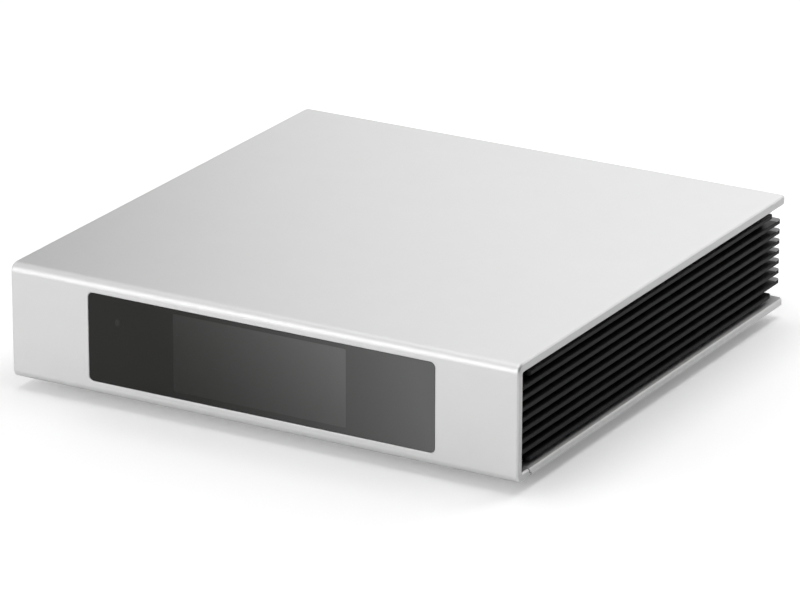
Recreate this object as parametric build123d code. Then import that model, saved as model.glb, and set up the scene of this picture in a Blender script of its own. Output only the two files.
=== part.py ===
from build123d import *
import math
import os

# A network music streamer. Millimetres, +Z up, the front faces -Y, and the origin is on the
# surface that it stands on, under the middle of the case.

# Case
body_width = 360.0
body_depth = 360.0
body_height = 75.7
foot_height = 8.0
top_thickness = 6.2
front_thickness = 5.7
floor_thickness = 5.5
top_edge_radius = 5.5
bottom_edge_radius = 5.0
inner_edge_radius = 0.6
plan_corner_radius = 3.0
edge_chamfer = 1.0
lip_length = 16.6
lip_step = 2.0
seam_gap = 0.2
fit_gap = 0.15
overrun = 2.0

# Window, and what shows behind it
window_side_margin = 56.9
window_bottom_margin = 8.7
window_top_margin = 8.7
window_radius = 3.5
window_chamfer = 0.4
window_web = 1.6
glass_setback = 0.3
glass_flange = 2.0
glass_flange_thickness = 1.6
screen_width = 122.2
screen_bottom_margin = 4.2
screen_top_margin = 2.7
screen_radius = 1.0
screen_border = 2.2
screen_thickness = 3.6
frame_lip = 0.8
frame_ear = 13.0
receiver_inset = 18.7
receiver_drop = 16.4
receiver_radius = 1.9
receiver_dome_radius = 1.2
receiver_width = 7.0
receiver_height = 8.0
receiver_thickness = 2.6
display_board_margin = 3.0
display_chip_size = 14.0
chip_thickness = 1.4
ribbon_socket_width = 24.0
ribbon_socket_height = 5.0
ribbon_socket_depth = 3.0
ribbon_socket_rise = 9.0

# Finned sides, and the bars that tie the case together
fin_count = 9
fin_setback = 2.2
fin_depth = 13.3
fin_thickness = 2.8
fin_margin = 3.35
fin_tip_radius = 0.5
fin_root_radius = 0.7
fin_corner_radius = 3.0
short_fin_front = 11.6
short_fin_rear = 13.5
short_fin_radius = 2.4
fin_rear_setback = 1.0
wall_thickness = 6.0
rail_size = 9.0
rail_end_setback = 30.0
rail_cross_shift = 12.0
post_size = 8.0

# Rear panel; the middles of its sockets are shares of the panel's half width
rear_recess = 10.0
panel_thickness = 3.0
panel_corner_radius = 1.0
panel_hole_gap = 0.25
inlet_share = -0.78
rocker_share = -0.55
antenna_share = -0.36
lan_share = -0.17
usb_share = -0.02
link_share = 0.11
optical_share = 0.235
coax_share = 0.335
trigger_share = 0.41
line_share = 0.51
balanced_right_share = 0.655
balanced_left_share = 0.84

# Mains inlet with its fuse drawer
inlet_flange_width = 33.0
inlet_flange_height = 38.0
inlet_flange_thickness = 2.0
inlet_corner_radius = 2.5
inlet_body_width = 28.0
inlet_body_height = 33.0
inlet_body_depth = 24.0
inlet_body_radius = 1.0
inlet_mouth_width = 22.6
inlet_mouth_height = 15.4
inlet_mouth_depth = 17.0
inlet_mouth_chamfer = 4.0
inlet_mouth_rise = 6.4
blade_width = 2.0
blade_height = 4.0
blade_length = 13.0
blade_spread = 7.0
earth_rise = 3.6
line_drop = 1.2
drawer_width = 23.0
drawer_height = 7.4
drawer_depth = 19.0
drawer_drop = 9.6
drawer_gap = 0.3
drawer_grip_width = 9.0
drawer_grip_height = 1.6
drawer_grip_reach = 1.2
fuse_radius = 2.5
fuse_length = 20.0
fuse_cap_length = 5.0
fuse_glass_radius = 2.2
fuse_gap = 0.1
fuse_setback = 6.0

# Mains switch
bezel_width = 16.0
bezel_height = 24.0
bezel_thickness = 1.8
bezel_radius = 1.5
switch_body_width = 13.0
switch_body_height = 21.4
switch_body_depth = 17.0
rocker_width = 10.4
rocker_gap = 0.35
rocker_radius = 9.4
rocker_pivot_depth = 3.0
rocker_crest = 5.6
rocker_valley = 4.0
rocker_back = 3.0
rocker_edge_radius = 0.5
rocker_tilt = 9.0
pivot_radius = 1.1
pivot_clearance = 0.05
pivot_length = 0.85

# Data and sound sockets
socket_stand = 0.4
lan_width = 16.2
lan_height = 13.6
lan_depth = 21.0
lan_mouth_width = 11.9
lan_mouth_height = 6.8
lan_mouth_depth = 12.5
lan_latch_width = 6.4
lan_latch_height = 2.2
lan_mouth_rise = 2.6
usb_width = 14.4
usb_height = 16.4
usb_depth = 18.0
usb_slot_width = 12.5
usb_slot_height = 5.1
usb_slot_depth = 9.5
usb_slot_pitch = 7.8
usb_tongue_width = 11.0
usb_tongue_height = 1.9
usb_tongue_setback = 0.6
link_width = 16.0
link_height = 7.4
link_depth = 12.0
link_slot_width = 14.0
link_slot_height = 4.6
link_slot_chamfer = 1.6
link_slot_depth = 8.0
link_tongue_width = 11.2
link_tongue_height = 1.1
optical_size = 12.4
optical_depth = 15.0
optical_mouth_size = 9.2
optical_mouth_depth = 10.8
shutter_gap = 0.3
shutter_thickness = 0.8
shutter_setback = 0.6
shutter_pin_radius = 0.6
shutter_pin_length = 0.9
coax_width = 10.0
coax_height = 13.0
coax_depth = 12.0
coax_nose_radius = 4.6
jack_radius = 4.15
jack_reach = 8.6
jack_bore_radius = 1.6
jack_bore_depth = 12.0
trigger_width = 8.0
trigger_height = 8.0
trigger_depth = 13.0
trigger_pitch = 11.0
trigger_barrel_radius = 2.9
trigger_reach = 1.2
trigger_bore_radius = 1.8
line_pitch = 22.0
line_nut_flats = 11.0
line_nut_thickness = 2.2
line_shank_radius = 3.0
line_shank_length = 14.0
balanced_width = 24.0
balanced_height = 29.0
balanced_thickness = 2.0
balanced_corner_radius = 3.0
balanced_radius = 10.4
balanced_depth = 20.0
balanced_mouth_radius = 9.0
balanced_mouth_depth = 15.0
contact_radius = 1.2
contact_circle_radius = 3.8
contact_length = 11.0
balanced_hole_spread = 9.0
balanced_hole_rise = 11.2
antenna_drop = 16.0
antenna_nut_flats = 8.0
antenna_nut_thickness = 2.0
antenna_barrel_radius = 3.15
antenna_reach = 8.8
antenna_bore_radius = 2.2
antenna_bore_depth = 5.0
antenna_pin_radius = 0.5
antenna_relief_radius = 2.8
antenna_relief_length = 0.6
antenna_tail_radius = 2.0
antenna_tail = 6.0
nut_gap = 0.05

# Boards and what stands beside them
board_thickness = 1.6
board_corner_radius = 3.0
board_rear_gap = 2.0
spacer_height = 8.0
spacer_radius = 2.9
board_screw_inset = 5.0
board_screw_rear_inset = 21.0
main_board_shares = (-0.26, 0.45)
main_board_depth = 205.0
output_board_shares = (0.475, 0.93)
output_board_depth = 105.0
power_board_shares = (-0.93, -0.36)
chip_share = 0.16
main_chip_shares = ((-0.3, -0.2), (0.0, -0.25), (0.3, -0.2), (-0.34, 0.2), (0.34, 0.2))
output_chip_shares = ((-0.2, -0.2), (0.2, -0.2), (0.0, 0.05))
power_chip_shares = ((-0.035, 0.18), (0.31, 0.18))
module_size = 46.0
module_thickness = 4.0
module_setback = 100.0
spreader_size = 58.0
spreader_base = 3.0
spreader_fin_count = 8
spreader_fin_height = 12.0
spreader_fin_thickness = 1.6
capacitor_radius = 11.0
capacitor_height = 32.0
capacitor_pitch = 25.0
capacitor_count = 3
capacitor_edge_radius = 1.2
capacitor_setback = 29.0
transformer_share = -0.62
transformer_setback = 104.0
transformer_board_gap = 55.3
transformer_radius = 45.0
transformer_bore = 14.0
transformer_height = 38.0
transformer_edge_radius = 9.0
clamp_radius = 30.0
clamp_thickness = 2.0
clamp_dish = 2.5
clamp_dish_radius = 9.0
transformer_bolt_radius = 3.0
transformer_bolt_head_radius = 5.6
transformer_bolt_head_height = 4.0
partition_share = -0.305
partition_thickness = 1.5
partition_height = 46.0
partition_foot = 9.0
partition_setback = 15.0
partition_bend_radius = 1.2
lead_radius = 1.2
lead_pitch = 3.6
lead_bend_radius = 6.0
lead_run = 13.0
lead_inset = 9.0
lead_arch = 16.0
lead_count = 3
ribbon_width = 20.0
ribbon_thickness = 0.5
ribbon_bend_radius = 3.0
ribbon_floor_gap = 1.2
ribbon_run = 10.0

# Feet
foot_inset = 50.0
foot_radius = 22.0
foot_chamfer = 1.2
pad_radius = 18.0
pad_bore = 8.0
pad_thickness = 2.6
pad_recess = 1.2
pad_edge_radius = 0.6
foot_screw_radius = 2.0
foot_screw_head_radius = 3.8
foot_screw_head_height = 2.4
foot_screw_length = 7.5
foot_web = 2.2

# Screws
screw_radius = 1.5
screw_gap = 0.1
screw_head_radius = 2.7
screw_head_height = 1.8
screw_length = 8.0
tap_depth = 3.6
tap_reach = 3.3
floor_screw_length = 13.0
floor_screw_head_radius = 2.9
floor_screw_shares = (-0.78, -0.26, 0.26, 0.78)
rail_screw_shares = (-0.7, 0.7)
post_screw_share = 0.7

# Places worked out from the sizes above
base_z = foot_height
floor_z = base_z + floor_thickness
top_z = base_z + body_height
ceiling_z = top_z - top_thickness
middle_z = (floor_z + ceiling_z) / 2
lap_z = base_z + floor_thickness / 2
half_width = body_width / 2
front_y = -body_depth / 2
rear_y = body_depth / 2
inner_front_y = front_y + front_thickness
lip_lower_y = front_y + lip_length
lip_upper_y = lip_lower_y - lip_step
fin_tip_x = half_width - fin_setback
wall_outer_x = fin_tip_x - fin_depth
wall_inner_x = wall_outer_x - wall_thickness
wall_middle_x = (wall_inner_x + wall_outer_x) / 2
fin_pitch = (ceiling_z - floor_z - 2 * fin_margin - fin_thickness) / (fin_count - 1)
fin_rear_y = rear_y - fin_rear_setback
rail_z = ceiling_z - rail_size / 2
rail_x = wall_inner_x - rail_size / 2
rail_end_y = body_depth / 2 - rail_end_setback
panel_half = wall_inner_x - fit_gap
panel_y = rear_y - rear_recess
panel_inner_y = panel_y - panel_thickness
socket_y = panel_y + socket_stand
window_width = body_width - 2 * window_side_margin
window_height = body_height - window_bottom_margin - window_top_margin
window_z = base_z + window_bottom_margin + window_height / 2
rebate_y = front_y + window_web
glass_back_y = rebate_y + glass_flange_thickness
frame_y = glass_back_y + fit_gap
screen_y = frame_y + frame_lip
screen_back_y = screen_y + screen_thickness
screen_height = window_height - screen_bottom_margin - screen_top_margin
screen_z = window_z + (screen_bottom_margin - screen_top_margin) / 2
display_board_width = window_width - 2 * display_board_margin
display_board_back_y = screen_back_y + board_thickness
ribbon_socket_y = display_board_back_y + ribbon_socket_depth
ribbon_socket_z = window_z - window_height / 2 + ribbon_socket_rise
receiver_x = receiver_inset - window_width / 2
receiver_z = window_z + window_height / 2 - receiver_drop
board_z = floor_z + spacer_height
board_top_z = board_z + board_thickness
board_rear_y = panel_inner_y - board_rear_gap
post_x = panel_half - post_size / 2
post_y = panel_inner_y - post_size / 2
inlet_x = inlet_share * panel_half
inlet_back_y = panel_y - inlet_body_depth
mouth_z = middle_z + inlet_mouth_rise
drawer_z = middle_z - drawer_drop
drawer_face_y = panel_y + inlet_flange_thickness
fuse_y = drawer_face_y - fuse_setback
rocker_x = rocker_share * panel_half
rocker_pivot_y = panel_y + bezel_thickness - rocker_pivot_depth
rocker_floor_y = (rocker_pivot_y - rocker_back - rocker_gap
                  - rocker_radius * math.sin(math.radians(rocker_tilt)))
lan_x = lan_share * panel_half
lan_z = board_top_z + lan_height / 2
usb_x = usb_share * panel_half
usb_z = board_top_z + usb_height / 2
link_x = link_share * panel_half
link_z = board_top_z + link_height / 2
optical_x = optical_share * panel_half
optical_z = board_top_z + optical_size / 2
shutter_y = socket_y - shutter_setback - shutter_thickness / 2
shutter_pin_z = optical_z + optical_mouth_size / 2 - shutter_gap - shutter_pin_radius
coax_x = coax_share * panel_half
coax_z = board_top_z + coax_height / 2
trigger_x = trigger_share * panel_half
trigger_zs = [board_top_z + trigger_height / 2 + storey * trigger_pitch for storey in (0, 1)]
line_x = line_share * panel_half
line_zs = [middle_z + side * line_pitch / 2 for side in (-1, 1)]
balanced_xs = (balanced_right_share * panel_half, balanced_left_share * panel_half)
antenna_xs = (antenna_share * panel_half, trigger_x)
antenna_z = ceiling_z - antenna_drop
transformer_x = transformer_share * panel_half
transformer_y = inner_front_y + transformer_setback
transformer_top_z = floor_z + transformer_height
partition_x = partition_share * panel_half
foot_seat_z = base_z - foot_web
pad_top_z = pad_thickness
foot_low_z = pad_thickness - pad_recess
power_front_y = transformer_y + transformer_radius + transformer_board_gap
power_board_depth = board_rear_y - power_front_y
partition_front_y = power_front_y + partition_setback
partition_length = board_rear_y - partition_front_y
main_front_y = board_rear_y - main_board_depth
module_y = board_rear_y - module_setback
capacitor_y = power_front_y + capacitor_setback


def span(centre, length):
    return (centre - length / 2, centre + length / 2)


def shares_of_panel(shares):
    return (shares[0] * panel_half, shares[1] * panel_half)


main_board_xs = shares_of_panel(main_board_shares)
output_board_xs = shares_of_panel(output_board_shares)
power_board_xs = shares_of_panel(power_board_shares)
main_board_x = sum(main_board_xs) / 2
power_board_x = sum(power_board_xs) / 2


# Where screws and feet go, so that a screw and each hole that it passes agree

def floor_screw_places():
    walls = [
        (side * wall_middle_x, share * body_depth / 2)
        for side in (-1, 1)
        for share in floor_screw_shares
    ]
    return walls + [(side * post_x, post_y) for side in (-1, 1)]


def foot_places():
    return {
        "front_left": (foot_inset - half_width, front_y + foot_inset),
        "front_right": (half_width - foot_inset, front_y + foot_inset),
        "rear_left": (foot_inset - half_width, rear_y - foot_inset),
        "rear_right": (half_width - foot_inset, rear_y - foot_inset),
    }


def rail_screw_ys():
    return [share * rail_end_y for share in rail_screw_shares]


def post_screw_zs():
    return [middle_z + side * post_screw_share * (ceiling_z - middle_z) for side in (-1, 1)]


def ear_screw_places():
    ear_x = window_width / 2 + glass_flange + frame_ear / 2
    return [(sx * ear_x, window_z + sz * window_height / 3) for sx in (-1, 1) for sz in (-1, 1)]


def display_board_screw_places():
    x = display_board_width / 2 - board_screw_inset
    z = window_height / 2 - board_screw_inset
    return [(sx * x, window_z + sz * z) for sx in (-1, 1) for sz in (-1, 1)]


def board_screw_places(xs, depth):
    edges = (xs[0] + board_screw_inset, xs[1] - board_screw_inset)
    rows = (board_rear_y - depth + board_screw_inset, board_rear_y - board_screw_rear_inset)
    return [(x, y) for x in edges for y in rows]


def all_board_screw_places():
    return (
        board_screw_places(main_board_xs, main_board_depth)
        + board_screw_places(output_board_xs, output_board_depth)
        + board_screw_places(power_board_xs, power_board_depth)
    )


def balanced_screw_places():
    return [
        (x + side * balanced_hole_spread, middle_z - side * balanced_hole_rise)
        for x in balanced_xs
        for side in (-1, 1)
    ]


def partition_screw_places():
    x = partition_x - partition_foot / 2
    return [(x, board_rear_y - share * partition_length) for share in (1 / 4, 3 / 4)]


# Basic shapes

def block(x_span, y_span, z_span):
    spans = (x_span, y_span, z_span)
    centre = [(low + high) / 2 for low, high in spans]
    return Pos(*centre) * Box(*[high - low for low, high in spans])


def carried_x(face, x_span):
    """A face drawn in (y, z), carried along X."""
    start = Plane(origin=(x_span[0], 0, 0), x_dir=(0, 1, 0), z_dir=(1, 0, 0))
    return extrude(start * face, x_span[1] - x_span[0])


def carried_y(face, x, z, y_span):
    """A face drawn about (x, z), carried along Y."""
    start = Plane(origin=(x, y_span[1], z), x_dir=(1, 0, 0), z_dir=(0, -1, 0))
    return extrude(start * face, y_span[1] - y_span[0])


def carried_z(face, x, y, z_span):
    return extrude(Pos(x, y, z_span[0]) * face, z_span[1] - z_span[0])


def slab_y(x, z, width, height, radius, y_span):
    return carried_y(RectangleRounded(width, height, radius), x, z, y_span)


def rod_x(y, z, radius, x_span):
    return carried_x(Pos(y, z) * Circle(radius), x_span)


def rod_y(x, z, radius, y_span):
    return carried_y(Circle(radius), x, z, y_span)


def rod_z(x, y, radius, z_span):
    return carried_z(Circle(radius), x, y, z_span)


def hexagon_y(x, z, flats, y_span):
    """A hexagonal prism along Y, sized across its flats."""
    return carried_y(RegularPolygon(flats / 2, 6, major_radius=False), x, z, y_span)


def turned(points, x, y):
    """A closed outline of (radius, height) points turned about a vertical axis."""
    outline = make_face(Plane.XZ * Polyline(*points, close=True))
    return Pos(x, y, 0) * revolve(outline, Axis.Z)


def rounded(face, point, radius):
    """The face with its corner nearest to a point rounded."""
    corner = face.vertices().sort_by_distance((point[0], point[1], 0))[0]
    return fillet(corner, radius)


def screw(seat, outward, head_radius, head_height, radius, length):
    """A screw whose head stands on its seat and whose shank goes the other way."""
    at = Plane(origin=seat, z_dir=outward)
    head = Cylinder(head_radius, head_height, align=(Align.CENTER, Align.CENTER, Align.MIN))
    shank = Cylinder(radius, length, align=(Align.CENTER, Align.CENTER, Align.MAX))
    return at * (head + shank)


def small_screw(seat, outward, length):
    return screw(seat, outward, screw_head_radius, screw_head_height, screw_radius, length)


def tube(points, radius, bend_radius):
    """A round lead along straight runs joined by tangent arcs."""
    route = FilletPolyline(*points, radius=bend_radius)
    start = Plane(origin=points[0], z_dir=route % 0)
    return sweep(start * Circle(radius), path=route)


def group(solids):
    return Compound(children=list(solids))


# Case

def rear_corners(plate):
    return [
        edge
        for edge in plate.edges().filter_by(Axis.Z)
        if abs(edge.center().Y - rear_y) < fit_gap
    ]


def soften_rims(plate):
    """Chamfers the long edges of the side faces and of the rear face, and the arcs that join them."""
    chosen = [
        edge
        for edge in plate.edges()
        if edge.length > floor_thickness
        and (
            abs(abs(edge.center().X) - half_width) < fit_gap
            or abs(edge.center().Y - rear_y) < fit_gap
        )
    ]
    return chamfer(chosen, edge_chamfer)


def wrap_shell():
    """Top, front and lip as one C-shaped section carried across the width."""
    points = [
        (front_y, base_z),
        (lip_lower_y, base_z),
        (lip_lower_y, lap_z),
        (lip_upper_y, lap_z),
        (lip_upper_y, floor_z),
        (inner_front_y, floor_z),
        (inner_front_y, ceiling_z),
        (rear_y, ceiling_z),
        (rear_y, top_z),
        (front_y, top_z),
    ]
    section = make_face(Polyline(*points, close=True))
    section = rounded(section, (front_y, top_z), top_edge_radius)
    section = rounded(section, (front_y, base_z), bottom_edge_radius)
    section = rounded(section, (inner_front_y, floor_z), inner_edge_radius)
    section = rounded(section, (inner_front_y, ceiling_z), inner_edge_radius)
    shell = carried_x(section, (-half_width, half_width))
    shell = fillet(rear_corners(shell), plan_corner_radius)
    shell = soften_rims(shell)
    shell -= slab_y(0, window_z, window_width, window_height, window_radius,
                    (front_y - overrun, inner_front_y + overrun))
    mouth = [
        edge
        for edge in shell.edges()
        if abs(edge.center().Y - front_y) < fit_gap
        and abs(edge.center().X) < window_width / 2 + fit_gap
        and abs(edge.center().Z - window_z) < window_height / 2 + fit_gap
    ]
    shell = chamfer(mouth, window_chamfer)
    shell -= slab_y(0, window_z, window_width + 2 * glass_flange, window_height + 2 * glass_flange,
                    window_radius + glass_flange, (rebate_y, inner_front_y + overrun))
    radius = screw_radius + screw_gap
    for side in (-1, 1):
        for y in rail_screw_ys():
            shell -= rod_z(side * rail_x, y, radius, (ceiling_z - overrun, ceiling_z + tap_depth))
    for x, z in ear_screw_places():
        shell -= rod_y(x, z, radius, (inner_front_y - tap_depth, inner_front_y + overrun))
    return shell


def bottom_plate():
    """Floor plate whose front edge hooks over the lip of the shell."""
    points = [
        (lip_upper_y + seam_gap, floor_z),
        (rear_y, floor_z),
        (rear_y, base_z),
        (lip_lower_y + seam_gap, base_z),
        (lip_lower_y + seam_gap, lap_z + seam_gap),
        (lip_upper_y + seam_gap, lap_z + seam_gap),
    ]
    plate = carried_x(make_face(Polyline(*points, close=True)), (-half_width, half_width))
    plate = fillet(rear_corners(plate), plan_corner_radius)
    plate = soften_rims(plate)
    for x, y in floor_screw_places():
        plate -= countersink(x, y, screw_gap)
    radius = screw_radius + screw_gap
    for x, y in all_board_screw_places() + partition_screw_places():
        plate -= rod_z(x, y, radius, (floor_z - tap_depth, floor_z + overrun))
    for x, y in foot_places().values():
        plate -= rod_z(x, y, foot_screw_radius + screw_gap,
                       (base_z - overrun, foot_seat_z + foot_screw_length + screw_gap))
    plate -= rod_z(transformer_x, transformer_y, transformer_bolt_radius + screw_gap,
                   (floor_z - tap_depth, floor_z + overrun))
    return plate


def countersink(x, y, gap):
    """A flat-headed floor screw, or with a gap the hole that it leaves in what it passes."""
    head = floor_screw_head_radius + gap
    shank = screw_radius + gap
    taper_z = base_z + head - shank
    low_z = base_z - gap
    return turned([(0, low_z), (head, low_z), (head, base_z), (shank, taper_z),
                   (shank, base_z + floor_screw_length + gap),
                   (0, base_z + floor_screw_length + gap)], x, y)


def floor_screws():
    """Flush with the underside of the floor plate."""
    shank = screw_radius
    taper_z = base_z + floor_screw_head_radius - shank
    end_z = base_z + floor_screw_length
    outline = [(0, base_z), (floor_screw_head_radius, base_z), (shank, taper_z), (shank, end_z), (0, end_z)]
    return group(turned(outline, x, y) for x, y in floor_screw_places())


def fin_z(index):
    return middle_z + (index - (fin_count - 1) / 2) * fin_pitch


def right_heatsink():
    """A pressed comb section carried front to back, clear of the fillets inside the shell."""
    comb = Pos(wall_middle_x, middle_z) * Rectangle(wall_thickness, ceiling_z - floor_z)
    fin_x = (wall_middle_x + fin_tip_x) / 2
    for index in range(fin_count):
        comb += Pos(fin_x, fin_z(index)) * Rectangle(fin_tip_x - wall_middle_x, fin_thickness)
    tips = [v for v in comb.vertices() if abs(v.X - fin_tip_x) < fit_gap]
    comb = fillet(tips, fin_tip_radius)
    roots = [
        v
        for v in comb.vertices()
        if abs(v.X - wall_outer_x) < fit_gap and abs(v.Y - middle_z) < (ceiling_z - floor_z) / 2 - fit_gap
    ]
    comb = fillet(roots, fin_root_radius)
    profile = carried_y(comb, 0, 0, (inner_front_y, fin_rear_y))
    outline = make_face(Polyline(
        (wall_inner_x, inner_front_y), (fin_tip_x, inner_front_y), (fin_tip_x, fin_rear_y),
        (wall_inner_x, fin_rear_y), close=True))
    outline = rounded(outline, (fin_tip_x, fin_rear_y), fin_corner_radius)
    profile = profile & carried_z(outline, 0, 0, (floor_z, ceiling_z))
    for index in (0, fin_count - 1):
        profile -= short_fin_trim(index)
    ends = [
        edge
        for edge in profile.edges().filter_by(Axis.X)
        if abs(edge.center().Y - inner_front_y) < fit_gap
        and abs(edge.center().Z - middle_z) > (ceiling_z - floor_z) / 2 - fit_gap
    ]
    profile = chamfer(ends, inner_edge_radius)
    for x, y in floor_screw_places():
        profile -= rod_z(x, y, screw_radius + screw_gap,
                         (floor_z - overrun, base_z + floor_screw_length + screw_gap))
    for y in rail_screw_ys():
        profile -= rod_x(y + rail_cross_shift, rail_z, screw_radius + screw_gap,
                         (wall_inner_x - overrun, wall_inner_x + tap_depth))
    return profile


def short_fin_trim(index):
    """What is cut from the first and the last fin, which stop short at both ends."""
    reach = fin_thickness / 2 + fin_root_radius + fit_gap
    z_span = (fin_z(index) - reach, fin_z(index) + reach)
    short_front_y = inner_front_y + short_fin_front
    short_rear_y = rear_y - short_fin_rear
    kept = carried_z(RectangleRounded(2 * fin_depth, short_rear_y - short_front_y, short_fin_radius),
                     wall_outer_x, (short_front_y + short_rear_y) / 2, z_span)
    whole = block((wall_outer_x, fin_tip_x + overrun), (front_y, rear_y), z_span)
    return whole - kept


def left_heatsink():
    return right_heatsink().mirror(Plane.YZ)


def right_rail():
    """Square bar in the corner under the top plate."""
    bar = block(span(rail_x, rail_size), (-rail_end_y, rail_end_y), span(rail_z, rail_size))
    radius = screw_radius + screw_gap
    for y in rail_screw_ys():
        bar -= rod_z(rail_x, y, radius, (rail_z - rail_size, rail_z + rail_size))
        bar -= rod_x(y + rail_cross_shift, rail_z, radius, (rail_x - rail_size, rail_x + rail_size))
    return bar


def left_rail():
    return right_rail().mirror(Plane.YZ)


def rail_screws():
    length = rail_size + tap_reach
    upright = [
        small_screw((side * rail_x, y, ceiling_z - rail_size), (0, 0, -1), length)
        for side in (-1, 1)
        for y in rail_screw_ys()
    ]
    level = [
        small_screw((side * (wall_inner_x - rail_size), y + rail_cross_shift, rail_z), (-side, 0, 0), length)
        for side in (-1, 1)
        for y in rail_screw_ys()
    ]
    return group(upright + level)


def right_post():
    """Square post behind the rear panel's end, from the floor to the top plate."""
    post = block(span(post_x, post_size), span(post_y, post_size), (floor_z, ceiling_z))
    post -= rod_z(post_x, post_y, screw_radius + screw_gap,
                  (floor_z - overrun, base_z + floor_screw_length + screw_gap))
    for z in post_screw_zs():
        post -= rod_y(post_x, z, screw_radius + screw_gap,
                      (panel_y - screw_length - screw_gap, panel_y))
    return post


def left_post():
    return right_post().mirror(Plane.YZ)


def rear_panel():
    """Recessed panel with a cut-out for each socket."""
    y_span = (panel_inner_y, panel_y)
    through = (panel_inner_y - overrun, panel_y + overrun)
    gap = panel_hole_gap
    panel = slab_y(0, middle_z, 2 * panel_half, ceiling_z - floor_z - 2 * fit_gap,
                   panel_corner_radius, y_span)
    panel -= slab_y(inlet_x, middle_z, inlet_body_width + 2 * gap, inlet_body_height + 2 * gap,
                    inlet_body_radius + gap, through)
    panel -= slab_y(rocker_x, middle_z, switch_body_width + 2 * gap, switch_body_height + 2 * gap,
                    inlet_body_radius + gap, through)
    windows = [
        (lan_x, lan_z, lan_width, lan_height),
        (usb_x, usb_z, usb_width, usb_height),
        (link_x, link_z, link_width, link_height),
        (optical_x, optical_z, optical_size, optical_size),
    ]
    for x, z, width, height in windows:
        panel -= slab_y(x, z, width + 2 * gap, height + 2 * gap, gap, through)
    round_holes = [(coax_x, coax_z, coax_nose_radius)]
    round_holes += [(trigger_x, z, trigger_barrel_radius) for z in trigger_zs]
    round_holes += [(line_x, z, line_shank_radius) for z in line_zs]
    round_holes += [(x, middle_z, balanced_radius) for x in balanced_xs]
    round_holes += [(x, antenna_z, antenna_barrel_radius) for x in antenna_xs]
    for x, z, radius in round_holes:
        panel -= rod_y(x, z, radius + gap, through)
    screw_holes = [(side * post_x, z) for side in (-1, 1) for z in post_screw_zs()]
    for x, z in screw_holes + balanced_screw_places():
        panel -= rod_y(x, z, screw_radius + screw_gap, through)
    return panel


def panel_screws():
    ends = [
        small_screw((side * post_x, panel_y, z), (0, 1, 0), screw_length)
        for side in (-1, 1)
        for z in post_screw_zs()
    ]
    seat_y = panel_y + balanced_thickness
    flanges = [small_screw((x, seat_y, z), (0, 1, 0), screw_length) for x, z in balanced_screw_places()]
    return group(ends + flanges)


# Window and display

def window_glass():
    """Smoked glass whose front fills the window and whose flange sits in the rebate behind it."""
    front = slab_y(0, window_z, window_width - 2 * fit_gap, window_height - 2 * fit_gap,
                   window_radius - fit_gap, (front_y + glass_setback, rebate_y))
    flange_play = 2 * (glass_flange - fit_gap)
    flange = slab_y(0, window_z, window_width + flange_play, window_height + flange_play,
                    window_radius + glass_flange - fit_gap, (rebate_y, glass_back_y))
    return front + flange


def display_frame():
    """Black frame behind the glass, with ears that screw to the front plate."""
    margin = 2 * (glass_flange - fit_gap)
    radius = window_radius + glass_flange - fit_gap
    frame = slab_y(0, window_z, window_width + margin, window_height + margin, radius,
                   (frame_y, inner_front_y))
    frame += slab_y(0, window_z, window_width + 2 * (glass_flange + frame_ear), window_height + margin,
                    radius, (inner_front_y, screen_back_y))
    frame -= slab_y(0, screen_z, screen_width, screen_height, screen_radius,
                    (frame_y - overrun, screen_back_y + overrun))
    frame -= slab_y(0, screen_z, screen_width + 2 * (screen_border + fit_gap),
                    screen_height + 2 * (screen_border + fit_gap), screen_radius,
                    (screen_y, screen_back_y + overrun))
    frame -= rod_y(receiver_x, receiver_z, receiver_radius + fit_gap, (frame_y - overrun, screen_back_y))
    frame -= block(span(receiver_x, receiver_width + 2 * fit_gap),
                   (screen_back_y - receiver_thickness, screen_back_y + overrun),
                   span(receiver_z, receiver_height + 2 * fit_gap))
    for x, z in ear_screw_places():
        frame -= rod_y(x, z, screw_radius + screw_gap, (frame_y, screen_back_y + overrun))
    for x, z in display_board_screw_places():
        frame -= rod_y(x, z, screw_radius + screw_gap, (inner_front_y, screen_back_y + overrun))
    return frame


def display_module():
    """Flat screen: a bordered body with the picture area standing forward in the frame's opening."""
    body = slab_y(0, screen_z, screen_width + 2 * screen_border, screen_height + 2 * screen_border,
                  screen_radius, (screen_y, screen_back_y))
    picture = slab_y(0, screen_z, screen_width - 2 * fit_gap, screen_height - 2 * fit_gap,
                     screen_radius - fit_gap, (frame_y, screen_y))
    return body + picture


def display_board():
    board = slab_y(0, window_z, display_board_width, window_height, board_corner_radius,
                   (screen_back_y, display_board_back_y))
    board += slab_y(0, window_z, display_chip_size, display_chip_size, screen_radius,
                    (display_board_back_y, display_board_back_y + chip_thickness))
    board += block(span(main_board_x, ribbon_socket_width), (display_board_back_y, ribbon_socket_y),
                   span(ribbon_socket_z, ribbon_socket_height))
    for x, z in display_board_screw_places():
        board -= rod_y(x, z, screw_radius + screw_gap,
                       (screen_back_y - overrun, display_board_back_y + overrun))
    return board


def display_screws():
    """Through the frame's ears into the front plate, and through the board into the frame."""
    ears = [
        small_screw((x, screen_back_y, z), (0, 1, 0), screen_back_y - inner_front_y + tap_reach)
        for x, z in ear_screw_places()
    ]
    length = display_board_back_y - inner_front_y - screw_gap
    corners = [
        small_screw((x, display_board_back_y, z), (0, 1, 0), length)
        for x, z in display_board_screw_places()
    ]
    return group(ears + corners)


def remote_receiver():
    """Small infrared receiver whose dome looks out through the frame."""
    body_y = screen_back_y - receiver_thickness
    dome = rod_y(receiver_x, receiver_z, receiver_radius, (frame_y, body_y))
    dome = fillet(dome.edges().sort_by(Axis.Y)[0], receiver_dome_radius)
    body = block(span(receiver_x, receiver_width), (body_y, screen_back_y),
                 span(receiver_z, receiver_height))
    return dome + body


# Sockets of the rear panel

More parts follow.
